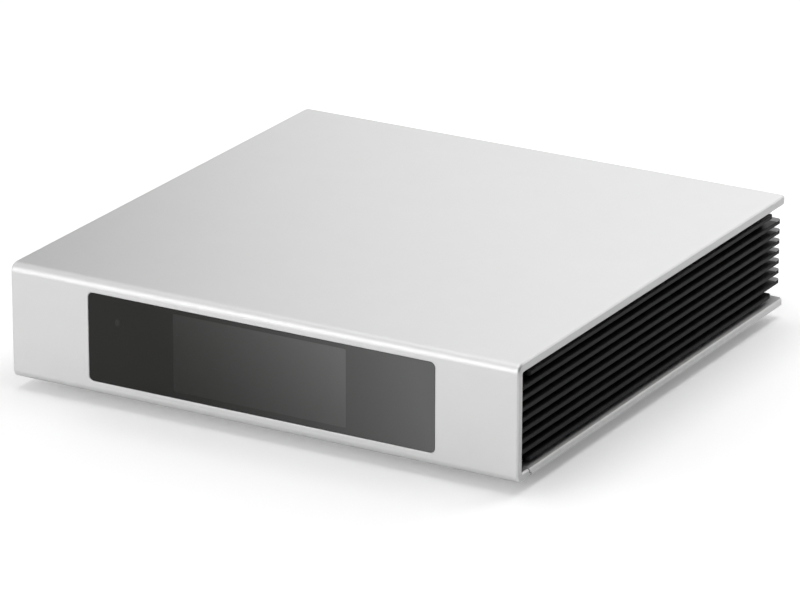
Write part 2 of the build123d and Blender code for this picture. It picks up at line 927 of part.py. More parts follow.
def mains_inlet():
    """Three-pole inlet above a slot for the fuse drawer, in one flanged housing."""
    housing = slab_y(inlet_x, middle_z, inlet_flange_width, inlet_flange_height, inlet_corner_radius,
                     (panel_y, drawer_face_y))
    housing += slab_y(inlet_x, middle_z, inlet_body_width, inlet_body_height, inlet_body_radius,
                      (inlet_back_y, panel_y))
    mouth = Rectangle(inlet_mouth_width, inlet_mouth_height)
    mouth = chamfer([v for v in mouth.vertices() if v.Y > 0], inlet_mouth_chamfer)
    mouth_back_y = drawer_face_y - inlet_mouth_depth
    housing -= carried_y(mouth, inlet_x, mouth_z, (mouth_back_y, drawer_face_y + overrun))
    housing -= block(span(inlet_x, drawer_width + 2 * drawer_gap),
                     (drawer_face_y - drawer_depth - drawer_gap, drawer_face_y + overrun),
                     span(drawer_z, drawer_height + 2 * drawer_gap))
    for x, z in ((-blade_spread, -line_drop), (blade_spread, -line_drop), (0, earth_rise)):
        housing += block(span(inlet_x + x, blade_width), (mouth_back_y, mouth_back_y + blade_length),
                         span(mouth_z + z, blade_height))
    return housing


def fuse_drawer():
    """Drawer with a grip along the foot of its face and a trough for the fuse."""
    back_y = drawer_face_y - drawer_depth
    drawer = block(span(inlet_x, drawer_width), (back_y, drawer_face_y), span(drawer_z, drawer_height))
    grip_z = drawer_z - drawer_height / 2
    drawer += block(span(inlet_x, drawer_grip_width), (drawer_face_y, drawer_face_y + drawer_grip_reach),
                    (grip_z, grip_z + drawer_grip_height))
    x_span = span(inlet_x, fuse_length + 2 * fuse_gap)
    drawer -= rod_x(fuse_y, drawer_z, fuse_radius + fuse_gap, x_span)
    drawer -= block(x_span, span(fuse_y, 2 * (fuse_radius + fuse_gap)), (drawer_z, drawer_z + drawer_height))
    return drawer


def fuse():
    glass = rod_x(fuse_y, drawer_z, fuse_glass_radius, span(inlet_x, fuse_length))
    cap_shift = (fuse_length - fuse_cap_length) / 2
    for side in (-1, 1):
        glass += rod_x(fuse_y, drawer_z, fuse_radius, span(inlet_x + side * cap_shift, fuse_cap_length))
    return glass


def switch_housing():
    """Bezel and body with a pocket for the rocker and a bearing hole in each side."""
    bezel_y = panel_y + bezel_thickness
    housing = slab_y(rocker_x, middle_z, bezel_width, bezel_height, bezel_radius, (panel_y, bezel_y))
    housing += slab_y(rocker_x, middle_z, switch_body_width, switch_body_height, inlet_body_radius,
                      (panel_y - switch_body_depth, panel_y))
    housing -= block(span(rocker_x, rocker_width + 2 * rocker_gap), (rocker_floor_y, bezel_y + overrun),
                     span(middle_z, 2 * (rocker_radius + rocker_gap)))
    bearing = rocker_width + 2 * (pivot_length + screw_gap)
    housing -= rod_x(rocker_pivot_y, middle_z, pivot_radius + pivot_clearance, span(rocker_x, bearing))
    return housing


def power_rocker():
    """A disc about its pivot, cut to two shallow faces that meet in a valley, tipped to off."""
    radius = rocker_radius
    outline = make_face(Polyline(
        (-rocker_back, -radius), (rocker_crest, -radius), (rocker_valley, 0), (rocker_crest, radius),
        (-rocker_back, radius), close=True))
    section = outline & Circle(radius)
    crests = [v for v in section.vertices() if v.X > rocker_valley + rocker_edge_radius]
    section = fillet(crests, rocker_edge_radius)
    rocker = carried_x(section, span(0, rocker_width))
    rocker += rod_x(0, 0, pivot_radius, span(0, rocker_width + 2 * pivot_length))
    return Pos(rocker_x, rocker_pivot_y, middle_z) * Rot(X=rocker_tilt) * rocker


def lan_socket():
    """Shielded network jack with its latch notch above the mouth."""
    socket = block(span(lan_x, lan_width), (socket_y - lan_depth, socket_y), span(lan_z, lan_height))
    y_span = (socket_y - lan_mouth_depth, socket_y + overrun)
    low_z = board_top_z + lan_mouth_rise
    high_z = low_z + lan_mouth_height
    socket -= block(span(lan_x, lan_mouth_width), y_span, (low_z, high_z))
    socket -= block(span(lan_x, lan_latch_width), y_span, (low_z, high_z + lan_latch_height))
    return socket


def usb_socket():
    """Two slots one above the other, each with its tongue."""
    socket = block(span(usb_x, usb_width), (socket_y - usb_depth, socket_y), span(usb_z, usb_height))
    back_y = socket_y - usb_slot_depth
    for side in (-1, 1):
        slot_z = usb_z + side * usb_slot_pitch / 2
        socket -= block(span(usb_x, usb_slot_width), (back_y, socket_y + overrun),
                        span(slot_z, usb_slot_height))
        tongue_z = slot_z + usb_slot_height / 2 - usb_tongue_height
        socket += block(span(usb_x, usb_tongue_width), (back_y, socket_y - usb_tongue_setback),
                        span(tongue_z, usb_tongue_height))
    return socket


def link_socket():
    """Digital link socket with two clipped corners at the foot of its slot."""
    socket = block(span(link_x, link_width), (socket_y - link_depth, socket_y), span(link_z, link_height))
    slot = Rectangle(link_slot_width, link_slot_height)
    slot = chamfer([v for v in slot.vertices() if v.Y < 0], link_slot_chamfer)
    back_y = socket_y - link_slot_depth
    socket -= carried_y(slot, link_x, link_z, (back_y, socket_y + overrun))
    socket += block(span(link_x, link_tongue_width), (back_y, socket_y - usb_tongue_setback),
                    span(link_z, link_tongue_height))
    return socket


def optical_socket():
    """Square optical outlet with bearing holes for its shutter."""
    socket = block(span(optical_x, optical_size), (socket_y - optical_depth, socket_y),
                   span(optical_z, optical_size))
    socket -= block(span(optical_x, optical_mouth_size),
                    (socket_y - optical_mouth_depth, socket_y + overrun),
                    span(optical_z, optical_mouth_size))
    bearing = optical_mouth_size - 2 * shutter_gap + 2 * (shutter_pin_length + screw_gap)
    socket -= rod_x(shutter_y, shutter_pin_z, shutter_pin_radius + pivot_clearance, span(optical_x, bearing))
    return socket


def optical_shutter():
    """Flap that hangs from a knuckle across the top of the optical outlet."""
    width = optical_mouth_size - 2 * shutter_gap
    low_z = optical_z - optical_mouth_size / 2 + shutter_gap
    flap = block(span(optical_x, width), span(shutter_y, shutter_thickness), (low_z, shutter_pin_z))
    return flap + rod_x(shutter_y, shutter_pin_z, shutter_pin_radius,
                        span(optical_x, width + 2 * shutter_pin_length))


def coax_socket():
    """Housing whose nose fills the panel's hole, with the barrel standing out of it."""
    housing = block(span(coax_x, coax_width), (panel_inner_y - coax_depth, panel_inner_y),
                    span(coax_z, coax_height))
    housing += rod_y(coax_x, coax_z, coax_nose_radius, (panel_inner_y, panel_y))
    housing += rod_y(coax_x, coax_z, jack_radius, (panel_y, panel_y + jack_reach))
    return housing - rod_y(coax_x, coax_z, jack_bore_radius,
                           (panel_y + jack_reach - jack_bore_depth, panel_y + jack_reach + overrun))


def trigger_socket():
    """Two small jacks in one housing, one above the other."""
    height = trigger_pitch + trigger_height
    socket = block(span(trigger_x, trigger_width), (panel_inner_y - trigger_depth, panel_inner_y),
                   (board_top_z, board_top_z + height))
    for z in trigger_zs:
        socket += rod_y(trigger_x, z, trigger_barrel_radius, (panel_inner_y, panel_y + trigger_reach))
    for z in trigger_zs:
        socket -= rod_y(trigger_x, z, trigger_bore_radius,
                        (panel_inner_y - trigger_depth / 2, panel_y + trigger_reach + overrun))
    return socket


def line_sockets():
    """Two jacks whose hexagon seats on the panel, with a threaded shank behind."""
    end_y = panel_y + jack_reach
    sockets = []
    for z in line_zs:
        socket = rod_y(line_x, z, line_shank_radius, (panel_inner_y - line_shank_length, panel_y))
        socket += hexagon_y(line_x, z, line_nut_flats, (panel_y, panel_y + line_nut_thickness))
        socket += rod_y(line_x, z, jack_radius, (panel_y + line_nut_thickness, end_y))
        socket -= rod_y(line_x, z, jack_bore_radius, (end_y - jack_bore_depth, end_y + overrun))
        sockets.append(socket)
    return group(sockets)


def antenna_sockets():
    """Two aerial sockets: a hexagon behind the panel, a relief groove past the nut, a pin in the bore."""
    end_y = panel_y + antenna_reach
    sockets = []
    for x in antenna_xs:
        flange_y = panel_inner_y - antenna_nut_thickness
        socket = hexagon_y(x, antenna_z, antenna_nut_flats, (flange_y, panel_inner_y))
        socket += rod_y(x, antenna_z, antenna_tail_radius, (flange_y - antenna_tail, flange_y))
        nut_y = panel_y + antenna_nut_thickness
        groove_y = nut_y + antenna_relief_length
        socket += rod_y(x, antenna_z, antenna_barrel_radius, (panel_inner_y, nut_y))
        socket += rod_y(x, antenna_z, antenna_relief_radius, (nut_y, groove_y))
        socket += rod_y(x, antenna_z, antenna_barrel_radius, (groove_y, end_y))
        socket -= rod_y(x, antenna_z, antenna_bore_radius, (end_y - antenna_bore_depth, end_y + overrun))
        sockets.append(socket + rod_y(x, antenna_z, antenna_pin_radius, (end_y - antenna_bore_depth, end_y)))
    return group(sockets)


def socket_nuts():
    """Inside nuts of the line sockets and outside nuts of the antenna sockets."""
    nuts = []
    for z in line_zs:
        y_span = (panel_inner_y - line_nut_thickness, panel_inner_y)
        nuts.append(hexagon_y(line_x, z, line_nut_flats, y_span)
                    - rod_y(line_x, z, line_shank_radius + nut_gap, y_span))
    for x in antenna_xs:
        y_span = (panel_y, panel_y + antenna_nut_thickness)
        nuts.append(hexagon_y(x, antenna_z, antenna_nut_flats, y_span)
                    - rod_y(x, antenna_z, antenna_barrel_radius + nut_gap, y_span))
    return group(nuts)


def balanced_socket(x):
    """Three-pin male outlet: flange, round barrel and contacts inside it."""
    face_y = panel_y + balanced_thickness
    socket = slab_y(x, middle_z, balanced_width, balanced_height, balanced_corner_radius, (panel_y, face_y))
    socket += rod_y(x, middle_z, balanced_radius, (face_y - balanced_depth, panel_y))
    back_y = face_y - balanced_mouth_depth
    socket -= rod_y(x, middle_z, balanced_mouth_radius, (back_y, face_y + overrun))
    for dx, dz in ((-1, 0), (1, 0), (0, -1)):
        socket += rod_y(x + dx * contact_circle_radius, middle_z + dz * contact_circle_radius,
                        contact_radius, (back_y, back_y + contact_length))
    for screw_x, screw_z in balanced_screw_places():
        socket -= rod_y(screw_x, screw_z, screw_radius + screw_gap, (panel_y - overrun, face_y + overrun))
    return socket


def right_balanced_socket():
    return balanced_socket(balanced_xs[0])


def left_balanced_socket():
    return balanced_socket(balanced_xs[1])


# Boards, power supply and leads

def board(xs, depth, chip_shares):
    """A board with rounded corners, screw holes and low chips at shares of its size."""
    width = xs[1] - xs[0]
    middle_x = sum(xs) / 2
    middle_y = board_rear_y - depth / 2
    plate = carried_z(RectangleRounded(width, depth, board_corner_radius), middle_x, middle_y,
                      (board_z, board_top_z))
    for x, y in board_screw_places(xs, depth):
        plate -= rod_z(x, y, screw_radius + screw_gap, (board_z - overrun, board_top_z + overrun))
    for x_share, y_share in chip_shares:
        plate += block(span(middle_x + x_share * width, chip_share * width),
                       span(middle_y + y_share * depth, chip_share * width),
                       (board_top_z, board_top_z + chip_thickness))
    return plate


def main_board():
    plate = board(main_board_xs, main_board_depth, main_chip_shares)
    return plate + block(span(main_board_x, ribbon_socket_width),
                         (main_front_y + ribbon_run, main_front_y + ribbon_run + ribbon_socket_height),
                         (board_top_z, board_top_z + ribbon_socket_depth))


def output_board():
    return board(output_board_xs, output_board_depth, output_chip_shares)


def power_board():
    return board(power_board_xs, power_board_depth, power_chip_shares)


def board_spacers():
    """Round spacers with a stud in the floor plate and a tapped top."""
    radius = screw_radius + screw_gap
    spacers = []
    for x, y in all_board_screw_places():
        spacer = rod_z(x, y, spacer_radius, (floor_z, board_z))
        spacer += rod_z(x, y, screw_radius, (floor_z - tap_reach, floor_z))
        spacers.append(spacer - rod_z(x, y, radius, (floor_z + overrun, board_z + overrun)))
    return group(spacers)


def board_screws():
    boards = [
        small_screw((x, y, board_top_z), (0, 0, 1), board_thickness + tap_reach)
        for x, y in all_board_screw_places()
    ]
    seat_z = floor_z + partition_thickness
    feet = [
        small_screw((x, y, seat_z), (0, 0, 1), partition_thickness + tap_reach)
        for x, y in partition_screw_places()
    ]
    return group(boards + feet)


def processor_module():
    return carried_z(RectangleRounded(module_size, module_size, board_corner_radius), main_board_x, module_y,
                     (board_top_z, board_top_z + module_thickness))


def heat_spreader():
    """Finned block on the processor module."""
    low_z = board_top_z + module_thickness
    fin_low_z = low_z + spreader_base
    spreader = block(span(main_board_x, spreader_size), span(module_y, spreader_size), (low_z, fin_low_z))
    pitch = (spreader_size - spreader_fin_thickness) / (spreader_fin_count - 1)
    for index in range(spreader_fin_count):
        x = main_board_x + (index - (spreader_fin_count - 1) / 2) * pitch
        spreader += block(span(x, spreader_fin_thickness), span(module_y, spreader_size),
                          (fin_low_z, fin_low_z + spreader_fin_height))
    return spreader


def supply_capacitors():
    cans = []
    for index in range(capacitor_count):
        x = power_board_x + (index - (capacitor_count - 1) / 2) * capacitor_pitch
        can = rod_z(x, capacitor_y, capacitor_radius, (board_top_z, board_top_z + capacitor_height))
        cans.append(fillet(can.edges().sort_by(Axis.Z)[-1], capacitor_edge_radius))
    return group(cans)


def power_transformer():
    """A ring with generously rounded edges, standing on the floor plate."""
    width = transformer_radius - transformer_bore
    section = RectangleRounded(width, transformer_height, transformer_edge_radius)
    middle = transformer_bore + width / 2
    ring = revolve(Plane.XZ * Pos(middle, floor_z + transformer_height / 2) * section, Axis.Z)
    return Pos(transformer_x, transformer_y, 0) * ring


def transformer_clamp():
    """Dished washer that presses on the ring."""
    low_z = transformer_top_z
    high_z = low_z + clamp_thickness
    hole = transformer_bolt_radius + screw_gap
    rim = transformer_bore - clamp_thickness
    points = [
        (hole, low_z - clamp_dish),
        (clamp_dish_radius, low_z - clamp_dish),
        (rim, low_z),
        (clamp_radius, low_z),
        (clamp_radius, high_z),
        (rim, high_z),
        (clamp_dish_radius, high_z - clamp_dish),
        (hole, high_z - clamp_dish),
    ]
    return turned(points, transformer_x, transformer_y)


def transformer_bolt():
    seat_z = transformer_top_z + clamp_thickness - clamp_dish
    return screw((transformer_x, transformer_y, seat_z), (0, 0, 1), transformer_bolt_head_radius,
                 transformer_bolt_head_height, transformer_bolt_radius, seat_z - floor_z + tap_reach)


def partition_wall():
    """Bent sheet that shields the boards from the power supply."""
    outline = make_face(Polyline(
        (partition_x - partition_foot, floor_z), (partition_x + partition_thickness, floor_z),
        (partition_x + partition_thickness, floor_z + partition_height),
        (partition_x, floor_z + partition_height), (partition_x, floor_z + partition_thickness),
        (partition_x - partition_foot, floor_z + partition_thickness), close=True))
    outline = rounded(outline, (partition_x + partition_thickness, floor_z), partition_bend_radius)
    wall = carried_y(outline, 0, 0, (partition_front_y, board_rear_y))
    for x, y in partition_screw_places():
        wall -= rod_z(x, y, screw_radius + screw_gap,
                      (floor_z - overrun, floor_z + partition_thickness + overrun))
    return wall


def mains_leads():
    """From the inlet and the switch back and down to the power board."""
    leads = []
    for x, back_y, z in (
        (inlet_x, inlet_back_y, middle_z),
        (rocker_x, panel_y - switch_body_depth, middle_z),
    ):
        for side in (-1, 1):
            lead_x = x + side * lead_pitch
            turn_y = back_y - lead_run
            points = [(lead_x, back_y, z), (lead_x, turn_y, z), (lead_x, turn_y, board_top_z)]
            leads.append(tube(points, lead_radius, lead_bend_radius))
    return group(leads)


def lead_shift(index):
    return (index - (lead_count - 1) / 2) * lead_pitch


def transformer_leads():
    """From the ring's rear side to the front edge of the power board."""
    z = floor_z + transformer_height / 2
    leads = []
    for index in range(lead_count):
        x = transformer_x + lead_shift(index)
        start_y = transformer_y + transformer_radius + fit_gap
        end_y = power_front_y + lead_inset
        points = [(x, start_y, z), (x, end_y, z), (x, end_y, board_top_z)]
        leads.append(tube(points, lead_radius, lead_bend_radius / 2))
    return group(leads)


def supply_leads():
    """Low arches from the power board to the main board, in front of the partition."""
    start_x = power_board_xs[1] - 2 * lead_inset
    end_x = main_board_xs[0] + lead_inset
    leads = []
    for index in range(lead_count):
        y = power_front_y + (index + 1) * lead_pitch
        top_z = board_top_z + lead_arch
        points = [(start_x, y, board_top_z), (start_x, y, top_z), (end_x, y, top_z), (end_x, y, board_top_z)]
        leads.append(tube(points, lead_radius, lead_bend_radius))
    return group(leads)


def display_ribbon():
    """Flat ribbon from the display board down to the floor and up to the main board."""
    run_z = floor_z + ribbon_floor_gap
    start_y = ribbon_socket_y + ribbon_thickness
    rise_y = main_front_y - ribbon_run
    end_z = board_top_z + ribbon_socket_depth / 2
    route = FilletPolyline(
        (main_board_x, start_y, ribbon_socket_z),
        (main_board_x, start_y, run_z),
        (main_board_x, rise_y, run_z),
        (main_board_x, rise_y, end_z),
        (main_board_x, main_front_y + ribbon_run, end_z),
        radius=ribbon_bend_radius,
    )
    start = Plane(origin=(main_board_x, start_y, ribbon_socket_z), x_dir=(1, 0, 0), z_dir=(0, 0, -1))
    return sweep(start * Rectangle(ribbon_width, ribbon_thickness), path=route)


# Feet

def foot(x, y):
    """Turned foot with a recess for its pad and a deep seat for its screw."""
    head = foot_screw_head_radius + 2 * screw_gap
    shank = foot_screw_radius + screw_gap
    recess = pad_radius + fit_gap
    return turned([
        (shank, foot_seat_z), (head, foot_seat_z), (head, pad_top_z), (recess, pad_top_z),
        (recess, foot_low_z), (foot_radius - foot_chamfer, foot_low_z),
        (foot_radius, foot_low_z + foot_chamfer), (foot_radius, base_z), (shank, base_z),
    ], x, y)


def foot_pad(x, y):
    ring = turned([(pad_bore, 0), (pad_radius, 0), (pad_radius, pad_top_z), (pad_bore, pad_top_z)], x, y)
    rim = ring.edges().group_by(Axis.Z)[0].sort_by(SortBy.RADIUS)[-1]
    return fillet(rim, pad_edge_radius)


def foot_screws():
    return group(
        screw((x, y, foot_seat_z), (0, 0, -1), foot_screw_head_radius, foot_screw_head_height,
              foot_screw_radius, foot_screw_length)
        for x, y in foot_places().values()
    )


single_pieces = [
    wrap_shell, bottom_plate, floor_screws, right_heatsink, left_heatsink, right_rail, left_rail,
    rail_screws, right_post, left_post, rear_panel, panel_screws, window_glass, display_frame,
    display_module, display_board, display_screws, remote_receiver, mains_inlet,
    fuse_drawer, fuse, switch_housing, power_rocker, lan_socket, usb_socket, link_socket,
    optical_socket, optical_shutter, coax_socket, trigger_socket, line_sockets, antenna_sockets,
    socket_nuts, right_balanced_socket, left_balanced_socket, main_board, output_board, power_board,
    board_spacers, board_screws, processor_module, heat_spreader, supply_capacitors,
    power_transformer, transformer_clamp, transformer_bolt, partition_wall, mains_leads,
    transformer_leads, supply_leads, display_ribbon, foot_screws,
]

os.makedirs("parts", exist_ok=True)
for make in single_pieces:
    export_step(make(), f"parts/{make.__name__}.step")
for name, (x, y) in foot_places().items():
    export_step(foot(x, y), f"parts/{name}_foot.step")
pads = [foot_pad(x, y) for x, y in foot_places().values()]
export_step(group(pads), "parts/foot_pads.step")
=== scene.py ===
import bpy
import math
import numpy as np
from mathutils import Matrix, Vector


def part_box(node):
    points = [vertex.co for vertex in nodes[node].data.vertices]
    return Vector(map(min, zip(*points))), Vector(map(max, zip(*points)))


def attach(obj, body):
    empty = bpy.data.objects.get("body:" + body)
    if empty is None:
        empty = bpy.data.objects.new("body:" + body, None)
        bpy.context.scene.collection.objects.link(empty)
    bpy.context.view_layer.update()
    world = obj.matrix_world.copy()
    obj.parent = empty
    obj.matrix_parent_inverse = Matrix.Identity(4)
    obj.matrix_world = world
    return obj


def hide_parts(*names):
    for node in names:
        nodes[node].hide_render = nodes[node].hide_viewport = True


# A low square network music streamer. Metres, +Z up, the display window faces -Y.

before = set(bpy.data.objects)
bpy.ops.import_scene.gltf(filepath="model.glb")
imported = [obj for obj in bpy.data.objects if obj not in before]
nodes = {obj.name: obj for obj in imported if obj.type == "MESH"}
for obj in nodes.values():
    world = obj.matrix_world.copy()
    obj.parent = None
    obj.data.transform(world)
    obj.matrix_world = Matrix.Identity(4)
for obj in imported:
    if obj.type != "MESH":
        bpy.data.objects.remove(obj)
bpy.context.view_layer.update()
mm = 0.001
hair = 0.001 * mm  # lets a box with square edges hold its own faces
print("frame loaded,", len(nodes), "nodes")


# Camera: a long lens at the front right, a little above
cameraLook = {
    "azimuth": 29.7515, "elevation": 20.1066, "roll": 0.1342,  # degrees
    "distance": 3.40466, "aimRight": -0.00328, "aimUp": 0.0261, "aimHeight": 0.00757,  # metres
    "lens": 240.02, "sensor": 36.0,  # millimetres
}


def placeCamera(look):
    # back = (sin a cos e, -cos a cos e, sin e); right and up are then turned about it by the roll
    a, e, r = (math.radians(look[key]) for key in ("azimuth", "elevation", "roll"))
    back = Vector((math.sin(a) * math.cos(e), -math.cos(a) * math.cos(e), math.sin(e)))
    level = Vector((math.cos(a), math.sin(a), 0))
    steep = back.cross(level)
    right = math.cos(r) * level + math.sin(r) * steep
    up = math.cos(r) * steep - math.sin(r) * level
    place = back * look["distance"] + right * look["aimRight"] + up * look["aimUp"]
    place.z += look["aimHeight"]
    lens = bpy.data.cameras.new("photoCamera")
    lens.lens = look["lens"]
    lens.sensor_width = look["sensor"]
    lens.sensor_fit = "HORIZONTAL"
    camera = bpy.data.objects.new("photoCamera", lens)
    camera.matrix_world = Matrix.Translation(place) @ Matrix((right, up, back)).transposed().to_4x4()
    bpy.context.scene.collection.objects.link(camera)
    bpy.context.scene.camera = camera


placeCamera(cameraLook)
print("camera placed")


# Light: soft boxes and a plain pale room
lightRig = {
    "backLeftBox": {
        "place": (-0.42, 1.4, 0.8), "aim": (0.1, 0.1, 0.08), "size": (1.15, 0.8), "power": 3.8},
    "rearRightBox": {
        "place": (0.35, 0.75, 1.15), "aim": (0.05, 0.1, 0.05), "size": (0.9, 0.7), "power": 3.35},
    "rearEdgeBox": {
        "place": (0.55, 1.35, 0.8), "aim": (0.1, 0.1, 0.08), "size": (1.2, 0.8), "power": 4.5},
    "frontBox": {
        "place": (-0.6, -2.0, 0.95), "aim": (0, -0.1, 0.05), "size": (2.4, 1.4), "power": 12.5},
    "lowFrontBox": {
        "place": (-0.5, -1.9, 0.55), "aim": (0, -0.15, 0.03), "size": (2.0, 0.5), "power": 6.5},
    "frontRightBox": {
        "place": (0.9, -1.6, 1.5), "aim": (0, -0.1, 0.05), "size": (1.4, 1.2), "power": 2.1},
    "overheadBox": {
        "place": (0, 0, 2.2), "aim": (0, 0, 0), "size": (2.0, 2.0), "power": 25.2},
}
roomLook = {"color": (1.0, 1.0, 1.0), "glow": (-0.68, -0.17, 0.0)}  # brightest where its glow points
floorLook = {"color": (0.985, 0.985, 0.985), "lift": 0.185, "size": 12.0}


def hangBox(name, look):
    lamp = bpy.data.lights.new(name, "AREA")
    lamp.shape = "RECTANGLE"
    lamp.size, lamp.size_y = look["size"]
    lamp.energy = look["power"]
    box = bpy.data.objects.new(name, lamp)
    box.location = look["place"]
    box.rotation_euler = (Vector(look["aim"]) - Vector(look["place"])).to_track_quat("-Z", "Y").to_euler()
    bpy.context.scene.collection.objects.link(box)


for name, look in lightRig.items():
    hangBox(name, look)
bpy.context.scene.view_settings.view_transform = "Standard"


# Node helpers
def add(tree, kind, inputs=None, **settings):
    node = tree.nodes.new(kind)
    for name, value in settings.items():
        setattr(node, name, value)
    for name, value in (inputs or {}).items():
        feed(tree, node.inputs[name], value)
    return node


def feed(tree, socket, value):
    if isinstance(value, bpy.types.NodeSocket):
        tree.links.new(value, socket)
    else:
        socket.default_value = value


def calc(tree, operation, *values):
    node = add(tree, "ShaderNodeMath", operation=operation)
    for socket, value in zip(node.inputs, values):
        feed(tree, socket, value)
    return node.outputs[0]


def vectorCalc(tree, operation, *values):
    node = add(tree, "ShaderNodeVectorMath", operation=operation)
    for socket, value in zip(node.inputs, values):
        feed(tree, socket, value)
    return node.outputs["Value" if operation in ("LENGTH", "DOT_PRODUCT") else "Vector"]


mixSockets = {"RGBA": (0, 6, 7, 2), "FLOAT": (0, 2, 3, 0)}  # factor, first, second, result


def blend(tree, kind, values, **settings):
    node = add(tree, "ShaderNodeMix", data_type=kind, **settings)
    *sources, result = mixSockets[kind]
    for index, value in zip(sources, values):
        feed(tree, node.inputs[index], value)
    return node.outputs[result]


def blendColor(tree, factor, first, second, mode="MIX"):
    return blend(tree, "RGBA", (factor, first, second), blend_type=mode)


def blendNumber(tree, factor, first, second):
    return blend(tree, "FLOAT", (factor, first, second))


def noise(tree, vector, scale, look):
    levels = {"Scale": scale, "Detail": look["detail"], "Roughness": look["roughness"]}
    node = add(tree, "ShaderNodeTexNoise", levels)
    tree.links.new(vector, node.inputs["Vector"])
    return node.outputs["Fac"]


def newGroup(name, inputs, outputs):
    tree = bpy.data.node_groups.new(name, "ShaderNodeTree")
    for label, kind, start in inputs:
        socket = tree.interface.new_socket(label, in_out="INPUT", socket_type="NodeSocket" + kind)
        socket.default_value = start
    for label, kind in outputs:
        tree.interface.new_socket(label, in_out="OUTPUT", socket_type="NodeSocket" + kind)
    return tree, add(tree, "NodeGroupInput"), add(tree, "NodeGroupOutput")


def objectPlace(tree):
    return add(tree, "ShaderNodeTexCoord").outputs["Object"]


def faceNormal(tree):
    return add(tree, "ShaderNodeNewGeometry").outputs["Normal"]


# Effects that several finishes share
fineNoise = {"detail": 3.0, "roughness": 0.5}
broadNoise = {"detail": 4.0, "roughness": 0.6, "share": 0.012}  # a share of the fine noise's scale
wearNoise = {"scale": 320.0, "detail": 4.0, "roughness": 0.7, "lift": 0.35, "samples": 4}
dustNoise = {"scale": 45.0, "detail": 6.0, "roughness": 0.65, "power": 3.0}


def makeGrainGroup():
    # fine noise gives height and gloss, broad noise gives tone: tone = 1 + mottle (n - 1/2)
    tree, given, result = newGroup(
        "surfaceGrain",
        [("Scale", "Float", 3000.0), ("Stretch", "Vector", (1, 1, 1)), ("Mottle", "Float", 0.05),
         ("Speckle", "Float", 0.05)],
        [("Height", "Float"), ("Tone", "Float"), ("Gloss", "Float")])
    place = vectorCalc(tree, "MULTIPLY", objectPlace(tree), given.outputs["Stretch"])
    fine = noise(tree, place, given.outputs["Scale"], fineNoise)
    coarse = calc(tree, "MULTIPLY", given.outputs["Scale"], broadNoise["share"])
    broad = noise(tree, place, coarse, broadNoise)
    middle = calc(tree, "SUBTRACT", broad, 0.5)
    tone = calc(tree, "ADD", calc(tree, "MULTIPLY", middle, given.outputs["Mottle"]), 1.0)
    speck = calc(tree, "MULTIPLY", calc(tree, "SUBTRACT", fine, 0.5), given.outputs["Speckle"])
    feed(tree, result.inputs["Height"], fine)
    feed(tree, result.inputs["Tone"], tone)
    feed(tree, result.inputs["Gloss"], speck)
    return tree


def makeEdgeGroup():
    # mask = min(strength (1 - rounded normal . face normal) (noise + lift), 1)
    tree, given, result = newGroup(
        "edgeWear",
        [("Radius", "Float", 0.0006), ("Strength", "Float", 2.0)],
        [("Mask", "Float"), ("Normal", "Vector")])
    bevel = add(tree, "ShaderNodeBevel", {"Radius": given.outputs["Radius"]}, samples=wearNoise["samples"])
    turn = calc(tree, "SUBTRACT", 1.0, vectorCalc(tree, "DOT_PRODUCT", bevel.outputs[0], faceNormal(tree)))
    spots = noise(tree, objectPlace(tree), wearNoise["scale"], wearNoise)
    patch = calc(tree, "ADD", spots, wearNoise["lift"])
    mask = calc(tree, "MULTIPLY", calc(tree, "MULTIPLY", turn, given.outputs["Strength"]), patch)
    feed(tree, result.inputs["Mask"], calc(tree, "MINIMUM", mask, 1.0))
    feed(tree, result.inputs["Normal"], bevel.outputs[0])
    return tree


def makeDustGroup():
    # a film that settles on faces that look up: amount times max(nz, 0)^power times noise
    tree, given, result = newGroup("settledDust", [("Amount", "Float", 0.05)], [("Mask", "Float")])
    up = calc(tree, "MAXIMUM", vectorCalc(tree, "DOT_PRODUCT", faceNormal(tree), (0.0, 0.0, 1.0)), 0.0)
    patch = noise(tree, objectPlace(tree), dustNoise["scale"], dustNoise)
    mask = calc(tree, "MULTIPLY", calc(tree, "POWER", up, dustNoise["power"]), patch)
    feed(tree, result.inputs["Mask"], calc(tree, "MULTIPLY", mask, given.outputs["Amount"]))
    return tree


def makeBoxGroup():
    # 1 inside a box with rounded edges: |max(|p - c| - h + r, 0)| < r
    tree, given, result = newGroup(
        "insideBox",
        [("Centre", "Vector", (0, 0, 0)), ("Half", "Vector", (1, 1, 1)), ("Round", "Float", 0.0)],
        [("Mask", "Float")])
    apart = vectorCalc(tree, "SUBTRACT", objectPlace(tree), given.outputs["Centre"])
    off = vectorCalc(tree, "ABSOLUTE", apart)
    corner = add(tree, "ShaderNodeCombineXYZ")
    for socket in corner.inputs:
        tree.links.new(given.outputs["Round"], socket)
    inner = vectorCalc(tree, "SUBTRACT", given.outputs["Half"], corner.outputs[0])
    past = vectorCalc(tree, "MAXIMUM", vectorCalc(tree, "SUBTRACT", off, inner), (0.0, 0.0, 0.0))
    reach = calc(tree, "ADD", given.outputs["Round"], hair)
    inside = calc(tree, "LESS_THAN", vectorCalc(tree, "LENGTH", past), reach)
    feed(tree, result.inputs["Mask"], inside)
    return tree


